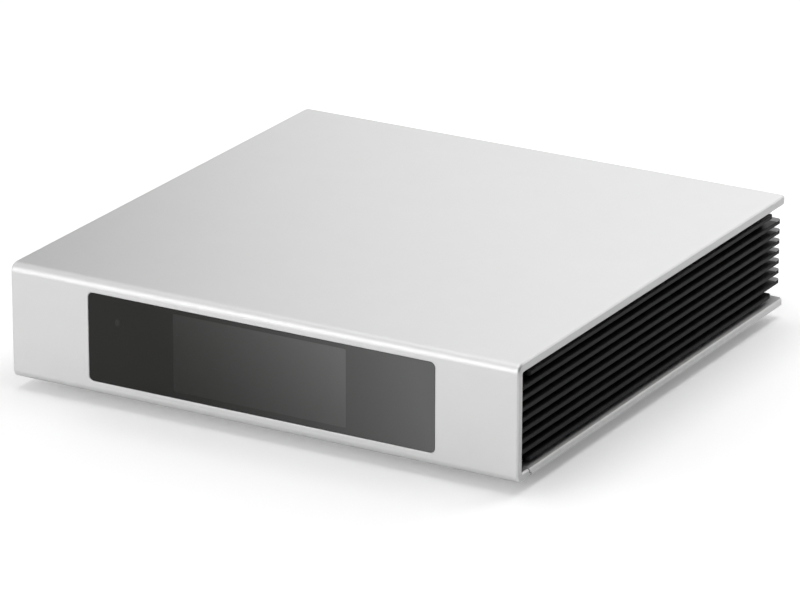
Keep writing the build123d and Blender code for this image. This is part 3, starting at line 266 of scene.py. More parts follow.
def makeRodGroup():
    # 1 between an inner and an outer radius of an axis along Y, and within a reach along it
    tree, given, result = newGroup(
        "insideRod",
        [("Centre", "Vector", (0, 0, 0)), ("Inner", "Float", 0.0), ("Radius", "Float", 1.0),
         ("Reach", "Float", 1.0)],
        [("Mask", "Float")])
    off = vectorCalc(tree, "SUBTRACT", objectPlace(tree), given.outputs["Centre"])
    away = vectorCalc(tree, "LENGTH", vectorCalc(tree, "MULTIPLY", off, (1.0, 0.0, 1.0)))
    outside = calc(tree, "GREATER_THAN", away, given.outputs["Inner"])
    ring = calc(tree, "MULTIPLY", calc(tree, "LESS_THAN", away, given.outputs["Radius"]), outside)
    along = calc(tree, "ABSOLUTE", add(tree, "ShaderNodeSeparateXYZ", {"Vector": off}).outputs[1])
    within = calc(tree, "LESS_THAN", along, given.outputs["Reach"])
    feed(tree, result.inputs["Mask"], calc(tree, "MULTIPLY", ring, within))
    return tree


def makeStripeGroup():
    # 1 on a share of each pitch along X, counted from a starting line
    tree, given, result = newGroup(
        "stripes",
        [("Start", "Float", 0.0), ("Pitch", "Float", 0.001), ("Share", "Float", 0.5)],
        [("Mask", "Float")])
    x = add(tree, "ShaderNodeSeparateXYZ", {"Vector": objectPlace(tree)}).outputs[0]
    turns = calc(tree, "DIVIDE", calc(tree, "SUBTRACT", x, given.outputs["Start"]), given.outputs["Pitch"])
    striped = calc(tree, "LESS_THAN", calc(tree, "FRACT", turns), given.outputs["Share"])
    feed(tree, result.inputs["Mask"], striped)
    return tree


def makeRampGroup():
    # t = clamp((p . way - low) / (high - low))^curve
    tree, given, result = newGroup(
        "slopingRamp",
        [("Way", "Vector", (1, 0, 0)), ("Low", "Float", 0.0), ("High", "Float", 1.0),
         ("Curve", "Float", 1.0)],
        [("Mask", "Float")])
    reach = vectorCalc(tree, "DOT_PRODUCT", objectPlace(tree), given.outputs["Way"])
    length = calc(tree, "SUBTRACT", given.outputs["High"], given.outputs["Low"])
    part = calc(tree, "DIVIDE", calc(tree, "SUBTRACT", reach, given.outputs["Low"]), length)
    clamped = calc(tree, "MAXIMUM", calc(tree, "MINIMUM", part, 1.0), 0.0)
    feed(tree, result.inputs["Mask"], calc(tree, "POWER", clamped, given.outputs["Curve"]))
    return tree


effects = {
    "grain": makeGrainGroup(), "edge": makeEdgeGroup(), "dust": makeDustGroup(), "box": makeBoxGroup(),
    "rod": makeRodGroup(), "stripes": makeStripeGroup(), "ramp": makeRampGroup(),
}


def useEffect(tree, name, **inputs):
    node = add(tree, "ShaderNodeGroup", node_tree=effects[name])
    for label, value in inputs.items():
        feed(tree, node.inputs[label], value)
    return node


def rgba(color):
    return (*color, 1.0)


facingCosine = 0.5  # the least between a face and the way that a zone keeps to


def zoneMask(tree, zone, anchor):
    # a box or a rod, placed in millimetres from the anchor; it may keep to faces that look one way
    centre = Vector(anchor) + mm * Vector(zone["middle"])
    if "size" in zone:
        shape = useEffect(tree, "box", Centre=centre, Half=mm * Vector(zone["size"]) / 2,
                          Round=mm * zone.get("round", 0.0))
    else:
        shape = useEffect(tree, "rod", Centre=centre, Inner=mm * zone.get("inner", 0.0),
                          Radius=mm * zone["radius"], Reach=mm * zone["reach"])
    mask = shape.outputs["Mask"]
    if "pitch" in zone:
        start = centre.x - mm * zone["size"][0] / 2
        stripes = useEffect(tree, "stripes", Start=start, Pitch=mm * zone["pitch"], Share=zone["part"])
        mask = calc(tree, "MULTIPLY", mask, stripes.outputs["Mask"])
    if "facing" in zone:
        turned = vectorCalc(tree, "DOT_PRODUCT", faceNormal(tree), zone["facing"])
        mask = calc(tree, "MULTIPLY", mask, calc(tree, "GREATER_THAN", turned, facingCosine))
    return mask


def paintColor(tree, look):
    # one colour, or two with a ramp between them
    if "ramp" not in look:
        return rgba(look["color"])
    ramp = look["ramp"]
    mask = useEffect(tree, "ramp", Way=ramp["way"], Low=mm * ramp["low"], High=mm * ramp["high"],
                     Curve=ramp["curve"])
    return blendColor(tree, mask.outputs["Mask"], rgba(look["color"]), rgba(ramp["color"]))


plainLook = {  # what a finish has where its own look says nothing
    "metallic": 0.0, "stretch": (1, 1, 1), "mottle": 0.06, "speckle": 0.06, "depth": 0.00002,
    "edgeRadius": 0.0004, "wear": 0.0, "wornColor": (0.6, 0.6, 0.6), "dust": 0.0,
    "dustColor": (0.55, 0.53, 0.5), "zones": [], "shader": {},
}


def makeFinish(name, ownLook, anchor=(0, 0, 0)):
    # one material: a base colour with mottling, zones of another finish, worn edges, dust and grain
    look = {**plainLook, **ownLook}
    material = bpy.data.materials.new(name)
    material.use_nodes = True
    tree = material.node_tree
    tree.nodes.clear()
    shader = add(tree, "ShaderNodeBsdfPrincipled")
    end = add(tree, "ShaderNodeOutputMaterial")
    tree.links.new(shader.outputs[0], end.inputs["Surface"])
    grain = useEffect(tree, "grain", Scale=look["grainScale"], Stretch=look["stretch"],
                      Mottle=look["mottle"], Speckle=look["speckle"])
    color = paintColor(tree, look)
    metal = look["metallic"]
    rough = look["roughness"]
    for zone in look["zones"]:
        mask = zoneMask(tree, zone, anchor)
        color = blendColor(tree, mask, color, paintColor(tree, zone))
        if "metallic" in zone:
            metal = blendNumber(tree, mask, metal, zone["metallic"])
        if "roughness" in zone:
            rough = blendNumber(tree, mask, rough, zone["roughness"])
    tone = add(tree, "ShaderNodeCombineXYZ")
    for socket in tone.inputs:
        tree.links.new(grain.outputs["Tone"], socket)
    color = blendColor(tree, 1.0, color, tone.outputs[0], "MULTIPLY")
    rough = calc(tree, "ADD", rough, grain.outputs["Gloss"])
    edge = useEffect(tree, "edge", Radius=look["edgeRadius"], Strength=look["wear"])
    color = blendColor(tree, edge.outputs["Mask"], color, rgba(look["wornColor"]))
    if look["dust"]:
        dust = useEffect(tree, "dust", Amount=look["dust"])
        color = blendColor(tree, dust.outputs["Mask"], color, rgba(look["dustColor"]))
    bump = add(tree, "ShaderNodeBump", {"Strength": 1.0, "Distance": look["depth"]})
    tree.links.new(grain.outputs["Height"], bump.inputs["Height"])
    tree.links.new(edge.outputs["Normal"], bump.inputs["Normal"])
    feed(tree, shader.inputs["Base Color"], color)
    feed(tree, shader.inputs["Metallic"], metal)
    feed(tree, shader.inputs["Roughness"], rough)
    tree.links.new(bump.outputs[0], shader.inputs["Normal"])
    for label, value in look["shader"].items():
        shader.inputs[label].default_value = value
    return material


def dress(material, *names):
    for name in names:
        nodes[name].data.materials.clear()
        nodes[name].data.materials.append(material)


def rearFoot(name):
    # the lower middle of a piece's rear face
    low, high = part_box(name)
    return ((low.x + high.x) / 2, high.y, low.z)


def dressFromRear(finish, look, name):
    # one piece in a finish of its own, whose zones are measured from its rear foot
    dress(makeFinish(finish, look, rearFoot(name)), name)


# Floor and room
def plainlySeen(tree):
    # 1 for rays that come from the camera, straight or through glass
    path = add(tree, "ShaderNodeLightPath")
    return calc(tree, "MAXIMUM", path.outputs["Is Camera Ray"], path.outputs["Is Transmission Ray"])


def makeRoom(look):
    # light falls in from the way that glow points, as its length times the cosine; the camera sees white
    world = bpy.data.worlds.new("paleRoom")
    bpy.context.scene.world = world
    world.use_nodes = True
    tree = world.node_tree
    tree.nodes.clear()
    way = add(tree, "ShaderNodeTexCoord").outputs["Generated"]
    level = calc(tree, "MAXIMUM", vectorCalc(tree, "DOT_PRODUCT", way, look["glow"]), 0.0)
    strength = calc(tree, "MAXIMUM", level, plainlySeen(tree))
    back = add(tree, "ShaderNodeBackground", {"Color": rgba(look["color"]), "Strength": strength})
    end = add(tree, "ShaderNodeOutputWorld")
    tree.links.new(back.outputs[0], end.inputs["Surface"])


def layFloor(look):
    # a flat square whose paint shows a little lighter to the camera, so that it reads white
    half = look["size"] / 2
    mesh = bpy.data.meshes.new("floorSheet")
    corners = [(-half, -half, 0), (half, -half, 0), (half, half, 0), (-half, half, 0)]
    mesh.from_pydata(corners, [], [(0, 1, 2, 3)])
    floor = bpy.data.objects.new("floorSheet", mesh)
    bpy.context.scene.collection.objects.link(floor)
    material = bpy.data.materials.new("floorPaint")
    material.use_nodes = True
    tree = material.node_tree
    tree.nodes.clear()
    paint = add(tree, "ShaderNodeBsdfDiffuse", {"Color": rgba(look["color"])})
    lift = calc(tree, "MULTIPLY", plainlySeen(tree), look["lift"])
    glow = add(tree, "ShaderNodeEmission", {"Strength": lift})
    both = add(tree, "ShaderNodeAddShader")
    tree.links.new(paint.outputs[0], both.inputs[0])
    tree.links.new(glow.outputs[0], both.inputs[1])
    end = add(tree, "ShaderNodeOutputMaterial")
    tree.links.new(both.outputs[0], end.inputs["Surface"])
    mesh.materials.append(material)


makeRoom(roomLook)
layFloor(floorLook)
print("room lit")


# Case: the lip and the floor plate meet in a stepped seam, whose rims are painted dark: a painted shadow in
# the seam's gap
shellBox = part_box("wrap_shell")
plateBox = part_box("bottom_plate")
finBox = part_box("right_heatsink")
# Lengths are millimetres here, apart from depth and edgeRadius, which are metres
throughCase = 400.0  # longer than the case in any direction
seamShadow = {"width": 0.7, "step": 2.0, "rim": 0.35, "lead": 0.1, "color": (0.03, 0.03, 0.03)}
# painted shade on the shell's side faces
sideShade = {"skin": 0.3, "color": (0.63, 0.63, 0.63)}
# the upper bend is rougher, and painted a little lighter as a painted highlight
bendGlintLook = {"radius": 5.5, "color": (0.77, 0.77, 0.77), "roughness": 0.56}
stripShadeLook = {
    "edge": 0.5, "under": 12.0, "skin": 0.4, "color": (0.48, 0.48, 0.48), "metallic": 0.0,
    "roughness": 0.7,
}
# painted reflection on the tops of the fins' rear ends
finEndGlint = {"length": 7.0, "color": (0.24, 0.24, 0.24), "metallic": 0.45}


def inMillimetres(box):
    # the middle and the size of a box
    low, high = box
    return (low + high) / (2 * mm), (high - low) / mm


def seamShadowZones(look):
    # painted shadow on two rims and the tread between them
    middle, size = inMillimetres(plateBox)
    upperY = plateBox[0].y / mm - look["lead"]
    wide, half = throughCase, size.z / 2
    rims = [((0, upperY, middle.z + half / 2), (wide, look["width"], half)),
            ((0, upperY + look["step"], middle.z - half / 2), (wide, look["width"], half)),
            ((0, upperY + look["step"] / 2, middle.z), (wide, look["step"], look["rim"]))]
    return [{"middle": spot, "size": extent, "color": look["color"]} for spot, extent in rims]


def sideShadeZones(look):
    # painted shade: the cut side faces are a little darker than the blasted faces, standing in for the
    # dimmer light they reflect
    return [{"middle": (corner.x / mm, 0, 0), "size": (look["skin"], throughCase, throughCase),
             "color": look["color"]}
            for corner in shellBox]


def bendGlintZone(look):
    # the upper bend, whose stretched grain spreads its glint, also painted a little lighter than the shell:
    # a painted highlight
    low, high = shellBox
    radius = look["radius"]
    return {"middle": (0, low.y / mm + radius / 2, high.z / mm - radius / 2),
            "size": (throughCase, radius, radius), "color": look["color"], "roughness": look["roughness"]}


def shadedStrips(look):
    # the strips of the floor plate's upper face that lie outside the fins, one at each side, painted a matte
    # grey of their own: painted light and shade for how they are lit under the fins
    middle, size = inMillimetres(plateBox)
    outer, inner = size.x / 2 - look["edge"], finBox[1].x / mm - look["under"]
    across, height = (outer + inner) / 2, middle.z + size.z / 2
    return [{"middle": (side * across, 0, height), "size": (outer - inner, throughCase, look["skin"]),
             "color": look["color"], "metallic": look["metallic"], "roughness": look["roughness"]}
            for side in (-1, 1)]


def finEndGlintZone(look):
    # the upper faces of the fins' rear ends, painted lighter and partly metal: a painted reflection of the
    # light from behind
    return {"middle": (0, finBox[1].y / mm, 0), "size": (throughCase, 2 * look["length"], throughCase),
            "facing": (0, 0, 1), "color": look["color"], "metallic": look["metallic"]}


# the worn edges are painted much lighter: partly wear, partly a painted highlight along the chamfers
blasting = {
    "grainScale": 3600.0, "depth": 0.00001, "mottle": 0.03, "speckle": 0.05, "edgeRadius": 0.0006,
    "wear": 0.8, "wornColor": (0.92, 0.92, 0.92),
}
shellLook = {
    **blasting, "color": (0.74, 0.74, 0.74), "metallic": 1.0, "roughness": 0.5,
    "zones": [bendGlintZone(bendGlintLook)] + sideShadeZones(sideShade) + seamShadowZones(seamShadow),
}
floorPlateLook = {
    **blasting, "color": (0.8, 0.8, 0.8), "metallic": 0.45, "roughness": 0.52,
    "zones": shadedStrips(stripShadeLook) + seamShadowZones(seamShadow),
}
finLook = {
    "color": (0.008, 0.008, 0.009), "metallic": 0.0, "roughness": 0.34, "grainScale": 1800.0,
    "stretch": (1.0, 0.03, 1.0), "depth": 0.00002, "mottle": 0.3, "speckle": 0.1, "edgeRadius": 0.0003,
    "wear": 0.04, "wornColor": (0.1, 0.1, 0.1), "dust": 0.1, "shader": {"IOR": 1.16},
    "zones": [finEndGlintZone(finEndGlint)],
}
panelLook = {
    "color": (0.025, 0.025, 0.027), "metallic": 0.3, "roughness": 0.42, "grainScale": 3000.0,
    "depth": 0.000015, "mottle": 0.1, "edgeRadius": 0.0003, "wear": 0.3, "wornColor": (0.25, 0.25, 0.25),
}
footLook = {
    "color": (0.022, 0.022, 0.024), "metallic": 0.4, "roughness": 0.35, "grainScale": 2200.0,
    "stretch": (1.0, 1.0, 6.0), "depth": 0.00001, "edgeRadius": 0.0004, "wear": 0.4,
    "wornColor": (0.3, 0.3, 0.3),
}
rubberLook = {
    "color": (0.022, 0.022, 0.022), "roughness": 0.75, "grainScale": 2600.0, "depth": 0.00004, "mottle": 0.3,
    "dust": 0.1,
}
barLook = {
    "color": (0.66, 0.66, 0.66), "metallic": 1.0, "roughness": 0.32, "grainScale": 1500.0,
    "stretch": (1.0, 0.04, 1.0), "depth": 0.00002, "mottle": 0.15, "edgeRadius": 0.0003,
}
steelLook = {
    "color": (0.10, 0.10, 0.105), "metallic": 0.9, "roughness": 0.35, "grainScale": 3000.0, "depth": 0.00001,
    "edgeRadius": 0.0002, "wear": 0.8, "wornColor": (0.4, 0.4, 0.4),
}
dress(makeFinish("blastedSilver", shellLook), "wrap_shell")
dress(makeFinish("blastedFloorPlate", floorPlateLook), "bottom_plate")
dress(makeFinish("blackFins", finLook), "right_heatsink", "left_heatsink")
dress(makeFinish("blackPanel", panelLook), "rear_panel")
dress(makeFinish("turnedFoot", footLook),
      "front_left_foot", "front_right_foot", "rear_left_foot", "rear_right_foot")
dress(makeFinish("footRubber", rubberLook), "foot_pads")
dress(makeFinish("milledBar", barLook),
      "right_rail", "left_rail", "right_post", "left_post", "heat_spreader")
blackSteel = makeFinish("blackenedScrew", steelLook)
dress(blackSteel, "floor_screws", "rail_screws", "panel_screws", "display_screws", "board_screws",
      "foot_screws", "transformer_bolt", "board_spacers")
print("case dressed")


# Window and display
screenMiddle, screenSize = inMillimetres(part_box("display_module"))
eyeMiddle = inMillimetres(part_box("remote_receiver"))[0]
screenBorder = {"side": 1.95, "edge": 2.5, "round": 1.0}  # millimetres of the module that the frame hides
eyeSpot = {"shift": 2.5, "width": 2.8, "height": 4.6, "round": 1.4}  # millimetres, shifted off the receiver
# painted sheen: the glass and the screen behind it are painted lighter towards the right end
glassSheen = {"way": (1, 0, 0.25), "low": -66.0, "high": 127.0, "curve": 1.6}  # grows towards the right end
screenSheen = {"way": (1, 0, 0.75), "low": -41.0, "high": 152.0, "curve": 1.6}
glassLook = {
    "color": (0.006, 0.006, 0.0045), "roughness": 0.05, "grainScale": 900.0, "depth": 0.000001,
    "mottle": 0.02, "speckle": 0.02, "edgeRadius": 0.0003,
    "shader": {"IOR": 1.5, "Specular IOR Level": 0.33},
    "ramp": {**glassSheen, "color": (0.118, 0.118, 0.118)},
    "zones": [
        {"middle": (0, 0, screenMiddle.z),
         "size": (screenSize.x - 2 * screenBorder["side"], throughCase,
                  screenSize.z - 2 * screenBorder["edge"]),
         "round": screenBorder["round"], "color": (0.0165, 0.0165, 0.015),
         "ramp": {**screenSheen, "color": (0.176, 0.176, 0.176)}},
        {"middle": (eyeMiddle.x + eyeSpot["shift"], 0, eyeMiddle.z),
         "size": (eyeSpot["width"], throughCase, eyeSpot["height"]),
         "round": eyeSpot["round"], "color": (0.02, 0.02, 0.0185)},
    ],
}
frameLook = {
    "color": (0.012, 0.012, 0.013), "roughness": 0.5, "grainScale": 3000.0, "depth": 0.00002,
}
screenLook = {
    "color": (0.03, 0.03, 0.034), "roughness": 0.22, "grainScale": 2000.0, "depth": 0.000002, "mottle": 0.1,
    "shader": {"Coat Weight": 0.5, "Coat Roughness": 0.1},
}
receiverLook = {
    "color": (0.06, 0.045, 0.05), "roughness": 0.15, "grainScale": 1200.0, "depth": 0.000004,
}
dress(makeFinish("smokedGlass", glassLook), "window_glass")
dress(makeFinish("maskBlack", frameLook), "display_frame")
dress(makeFinish("darkScreen", screenLook), "display_module")
dress(makeFinish("filterResin", receiverLook), "remote_receiver")
print("window dressed")


# The rear's small pieces: their zones are millimetres from the lower middle of each piece's rear face
nickelColor = (0.60, 0.58, 0.54)
goldColor = (0.83, 0.62, 0.28)
mouldColor = (0.022, 0.022, 0.023)
markColor = (0.75, 0.75, 0.73)
redColor = (0.55, 0.02, 0.02)
orangeColor = (0.75, 0.22, 0.02)
whiteColor = (0.75, 0.75, 0.72)


def mouldedLook(zones=()):
    return {"color": mouldColor, "roughness": 0.48, "grainScale": 2400.0, "depth": 0.00003, "mottle": 0.2,
            "edgeRadius": 0.0003, "wear": 0.15, "wornColor": (0.1, 0.1, 0.1), "zones": list(zones)}


def platedLook(color, zones=()):
    return {"color": color, "metallic": 1.0, "roughness": 0.24, "grainScale": 1600.0, "depth": 0.000008,
            "mottle": 0.1, "edgeRadius": 0.0002, "zones": list(zones)}


def plasticZone(color, **place):
    return {"color": color, "metallic": 0.0, "roughness": 0.4, **place}


def metalZone(color, **place):
    return {"color": color, "metallic": 1.0, "roughness": 0.22, **place}


# Mains side: inlet with its blades, fuse drawer, fuse, switch
inletBlades = {"size": (2.1, 12.9, 4.1),
               "middles": [(-7.0, -10.45, 24.2), (7.0, -10.45, 24.2), (0.0, -10.45, 29.0)]}
fuseCaps = {"size": (5.1, 20.0, 6.0), "middles": [(-7.5, 0, 2.5), (7.5, 0, 2.5)]}


def nickelZones(look):
    return [metalZone(nickelColor, middle=middle, size=look["size"]) for middle in look["middles"]]


inletLook = mouldedLook(nickelZones(inletBlades))
rockerMarks = [
    plasticZone(markColor, middle=(0, 0, 14.3), radius=1.7, inner=1.25, reach=20.0),
    plasticZone(markColor, middle=(0, 0, 4.5), size=(0.5, 40.0, 3.4)),
]
rockerLook = {**mouldedLook(rockerMarks), "roughness": 0.3}
fuseLook = {
    "color": (0.75, 0.77, 0.78), "roughness": 0.1, "grainScale": 900.0, "depth": 0.000002,
    "zones": nickelZones(fuseCaps),
}
moulded = makeFinish("mouldedBlack", mouldedLook())
dress(moulded, "switch_housing", "fuse_drawer", "optical_socket", "optical_shutter", "trigger_socket")
dressFromRear("inletMoulding", inletLook, "mains_inlet")
dressFromRear("rockerMoulding", rockerLook, "power_rocker")
dressFromRear("fuseGlass", fuseLook, "fuse")

# Data sockets: plated shields, dark mouths, gilt contacts on the tongues
lanLook = platedLook(nickelColor, [
    plasticZone(mouldColor, middle=(0, -6.35, 6.0), size=(11.95, 12.4, 6.9)),
    plasticZone(mouldColor, middle=(0, -6.35, 7.1), size=(6.45, 12.4, 9.1)),
])
usbTongue = {"heights": (5.9, 13.7), "size": (11.1, 9.0, 2.0), "inset": -5.0}
usbContact = {"drop": 0.8, "size": (9.6, 8.0, 1.2), "inset": -5.4, "pitch": 2.4, "part": 0.45}


def usbZones(height):
    # a dark tongue with gilt contacts on its lower side
    return [
        plasticZone(mouldColor, middle=(0, usbTongue["inset"], height), size=usbTongue["size"]),
        metalZone(goldColor, middle=(0, usbContact["inset"], height - usbContact["drop"]),
                  size=usbContact["size"], pitch=usbContact["pitch"], part=usbContact["part"]),
    ]


usbLook = platedLook(nickelColor, [zone for height in usbTongue["heights"] for zone in usbZones(height)])
linkLook = platedLook(nickelColor, [
    plasticZone(mouldColor, middle=(0, -4.3, 3.7), size=(11.3, 7.5, 1.2)),
    metalZone(goldColor, middle=(0, -4.6, 3.7), size=(10.0, 7.0, 1.3), pitch=1.0, part=0.45),
])
dressFromRear("lanShield", lanLook, "lan_socket")
dressFromRear("usbShield", usbLook, "usb_socket")
dressFromRear("linkShield", linkLook, "link_socket")

# Sound sockets: gilt barrels with coloured insulators, nickel shells with black inserts
insulator = {"inner": 1.75, "radius": 3.2, "reach": 0.4}
coaxLook = mouldedLook([
    metalZone(goldColor, middle=(0, -3.8, 6.5), radius=4.3, reach=3.9),
    plasticZone(orangeColor, middle=(0, 0, 6.5), **insulator),
])
lineLook = platedLook(goldColor, [
    plasticZone(redColor, middle=(0, 0, 5.5), **insulator),
    plasticZone(whiteColor, middle=(0, 0, 27.5), **insulator),
])
balancedLook = platedLook((0.32, 0.32, 0.33), [
    plasticZone(mouldColor, middle=(0, -10.0, 14.5), radius=9.05, reach=5.05),
    metalZone(goldColor, middle=(0, -9.4, 14.5), radius=5.4, reach=5.5),
])
dressFromRear("coaxJack", coaxLook, "coax_socket")
dressFromRear("lineJacks", lineLook, "line_sockets")
for side in ("right", "left"):
    dressFromRear(side + "Balanced", balancedLook, side + "_balanced_socket")
nickel = makeFinish("nickelSheet", platedLook(nickelColor))
gold = makeFinish("goldPlate", platedLook(goldColor))
dress(nickel, "transformer_clamp", "partition_wall")
dress(gold, "antenna_sockets", "socket_nuts")
print("rear dressed")


# Inside: boards with their chips, capacitors, transformer, leads
bareBoard = {"thickness": 1.6, "skin": 0.02, "chipReach": 20.0}  # millimetres; all above the skin is a chip
chipMiddle = bareBoard["thickness"] + bareBoard["chipReach"] / 2 + bareBoard["skin"]
chipZone = plasticZone(  # centred on a board's rear edge, so twice as deep
    mouldColor, middle=(0, 0, chipMiddle), size=(throughCase, 2 * throughCase, bareBoard["chipReach"]))
boardLook = {
    "color": (0.015, 0.075, 0.04), "roughness": 0.35, "grainScale": 1600.0, "depth": 0.00001, "mottle": 0.3,
    "zones": [chipZone],
}
capacitorHeight = inMillimetres(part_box("supply_capacitors"))[1].z
capacitorTop = {"skin": 0.4, "color": (0.7, 0.7, 0.7)}
capacitorLook = {
    "color": (0.02, 0.03, 0.08), "roughness": 0.3, "grainScale": 1200.0, "depth": 0.00001, "mottle": 0.1,
    "zones": [metalZone(capacitorTop["color"], middle=(0, 0, capacitorHeight),
                        size=(throughCase, throughCase, capacitorTop["skin"]))],
}
leadLook = {"color": (0.03, 0.03, 0.032), "roughness": 0.45, "grainScale": 2500.0, "depth": 0.00002}
ribbonLook = {
    "color": (0.5, 0.5, 0.5), "roughness": 0.5, "grainScale": 900.0, "stretch": (1.0, 0.02, 0.02),
    "depth": 0.00006, "mottle": 0.4,
}
windingLook = {
    "color": (0.35, 0.18, 0.05), "roughness": 0.3, "grainScale": 1200.0, "depth": 0.0001, "mottle": 0.4,
    "shader": {"Coat Weight": 0.4},
}
for name in ("main_board", "output_board", "power_board"):
    dressFromRear(name + "_mask", boardLook, name)
dress(makeFinish("displayBoardMask", {**boardLook, "zones": []}), "display_board")
dress(moulded, "processor_module")
dressFromRear("capacitorSleeve", capacitorLook, "supply_capacitors")
dress(makeFinish("leadSleeve", leadLook), "mains_leads", "transformer_leads", "supply_leads")
dress(makeFinish("flatRibbon", ribbonLook), "display_ribbon")
dress(makeFinish("coreWinding", windingLook), "power_transformer")
print("finishes made:", len(bpy.data.materials))


# Shaped pieces: turned surfaces and wires
weldStep = 1e-7  # metres within which two vertices are one
sharpAngle = math.radians(35)


def solidBoxes(name):
    # vertices that edges join share their lowest number, which names their solid
    mesh = nodes[name].data
    spots = np.empty(3 * len(mesh.vertices))
    mesh.vertices.foreach_get("co", spots)
    spots = spots.reshape(-1, 3)
    ends = np.empty(2 * len(mesh.edges), dtype=int)
    mesh.edges.foreach_get("vertices", ends)
    welded = np.unique(np.round(spots / weldStep), axis=0, return_inverse=True)[1].ravel()
    first, second = welded[ends].reshape(-1, 2).T
    label = np.arange(welded.max() + 1)
    settled = False
    while not settled:
        lower = np.minimum(label[first], label[second])
        fresh = label.copy()
        np.minimum.at(fresh, first, lower)
        np.minimum.at(fresh, second, lower)
        fresh = fresh[fresh]
        settled = bool((fresh == label).all())
        label = fresh
    owner = label[welded]
    return [(spots[owner == one].min(axis=0), spots[owner == one].max(axis=0)) for one in np.unique(owner)]


def addPiece(name, points, faces, material):
    mesh = bpy.data.meshes.new(name)
    mesh.from_pydata(points.tolist(), [], faces)
    mesh.polygons.foreach_set("use_smooth", np.ones(len(mesh.polygons), dtype=bool))
    mesh.set_sharp_from_angle(angle=sharpAngle)
    mesh.materials.append(material)
    piece = bpy.data.objects.new(name, mesh)
    bpy.context.scene.collection.objects.link(piece)
    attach(piece, "chassis")
    return piece


def shellFaces(rings, segments, copies):
    # quads between rings of points, and a fan round the pole at each end
    ring = np.arange(rings - 1)[:, None] * segments + 1
    step = np.arange(segments)[None, :]
    after = (step + 1) % segments
    quads = np.stack([ring + step, ring + after, ring + segments + after, ring + segments + step], axis=-1)
    last = (rings - 1) * segments + 1
    start = np.stack([0 * step[0], after[0] + 1, step[0] + 1], axis=-1)
    finish = np.stack([0 * step[0] + last + segments, last + step[0], last + after[0]], axis=-1)
    shift = np.arange(copies)[:, None, None] * (rings * segments + 2)
    quads = (quads.reshape(1, -1, 4) + shift).reshape(-1, 4)
    fans = (np.concatenate([start, finish])[None] + shift).reshape(-1, 3)
    return quads.tolist() + fans.tolist()


def turnedPiece(name, profile, seats, axis, segments, material, thread=None):
    # profile rows are (along, radius, sixness): radius / cos(angle off the flat)^sixness, a circle at 0
    # and a hexagon at 1; a thread cuts depth |2 frac(along / pitch - turn) - 1| between its two ends
    along, radius, sixness = np.array(profile).T[:, 1:-1, None]
    turn = np.linspace(0, 2 * math.pi, segments, endpoint=False)[None, :]
    offFlat = np.mod(turn + math.pi / 6, math.pi / 3) - math.pi / 6
    radius = radius * np.cos(offFlat) ** -sixness
    if thread:
        cut = np.abs(2 * np.mod(along / thread["pitch"] - turn / (2 * math.pi), 1) - 1)
        fade = np.clip(np.minimum(along - thread["start"], thread["stop"] - along) / thread["pitch"], 0, 1)
        radius = radius - thread["depth"] * cut * fade
    ahead = np.array(axis, dtype=float)
    side = np.array((1.0, 0.0, 0.0))
    across = np.cross(ahead, side)
    skin = (along[..., None] * ahead + (radius * np.cos(turn))[..., None] * side
            + (radius * np.sin(turn))[..., None] * across).reshape(-1, 3)
    ends = np.array([profile[0][0], profile[-1][0]])[:, None] * ahead
    one = mm * np.concatenate([ends[:1], skin, ends[1:]])
    points = (np.array(seats)[:, None, :] + one[None]).reshape(-1, 3)
    return addPiece(name, points, shellFaces(len(profile) - 2, segments, len(seats)), material)


# Screws whose sockets show, in millimetres: button heads at the rear, flat and cheese heads below
buttonHead = {"radius": 2.7, "height": 1.8, "rim": 0.5, "crown": 1.45, "key": 1.0, "keyDepth": 1.1,
              "shank": 1.5, "length": 8.0, "domeRows": 7}
flatHead = {"radius": 2.9, "taper": 1.4, "key": 1.0, "keyDepth": 1.1, "shank": 1.5, "length": 13.0}
cheeseHead = {"radius": 3.8, "height": 2.4, "chamfer": 0.4, "key": 1.5, "keyDepth": 1.4, "shank": 2.0,
              "length": 7.5}
keyShape = {"mouth": 0.28, "throat": 0.12, "wallTop": 0.2, "floorShare": 0.96, "coneShare": 0.4}
shankChamfer = 0.3
screwSegments = 48


def seatsOf(name, axis):
    # a solid's seat is the middle of the face of its box that looks along the axis
    seats = []
    for low, high in solidBoxes(name):
        seat = (low + high) / 2
        facing = np.abs(axis).argmax()
        seat[facing] = high[facing] if axis[facing] > 0 else low[facing]
        seats.append(seat)
    return seats


def shankRows(look):
    # the middle of the foot, then a chamfer up to the shank's radius
    foot = -look["length"]
    return [(foot, 0, 0), (foot, look["shank"] - shankChamfer, 0), (foot + shankChamfer, look["shank"], 0)]


def keyRows(look, top):
    # a round lead-in that narrows from mouth to throat, six walls, and a cone in the floor
    key, floor = look["key"], top - look["keyDepth"]
    return [(top, key + keyShape["mouth"], 0), (top - keyShape["throat"], key + keyShape["throat"], 0),
            (top - keyShape["wallTop"], key, 1), (floor, key, 1), (floor, keyShape["floorShare"] * key, 0),
            (floor - keyShape["coneShare"] * key, 0, 0)]


def domeRows(look):
    # a quarter of an ellipse from the rim to the crown
    swing = np.linspace(0, math.pi / 2, look["domeRows"])
    along = look["rim"] + (look["height"] - look["rim"]) * np.sin(swing)
    radius = look["crown"] + (look["radius"] - look["crown"]) * np.cos(swing)
    return [(a, r, 0) for a, r in zip(along.tolist(), radius.tolist())]


def lowered(rows, drop):
    # the same rows, nearer the foot by the drop
    return [(along - drop, radius, sixness) for along, radius, sixness in rows]


def buttonProfile(look):
    # shank, flat underside, domed head and key, with the head's top at 0
    under = [(0, look["shank"], 0), (0, look["radius"], 0)]
    rows = shankRows(look) + under + domeRows(look) + keyRows(look, look["height"])
    return lowered(rows, look["height"])


def flatProfile(look):
    # shank, a cone that widens up to the face, and key
    cone = [(-look["taper"], look["shank"], 0), (0, look["radius"], 0)]
    return shankRows(look) + cone + keyRows(look, 0)


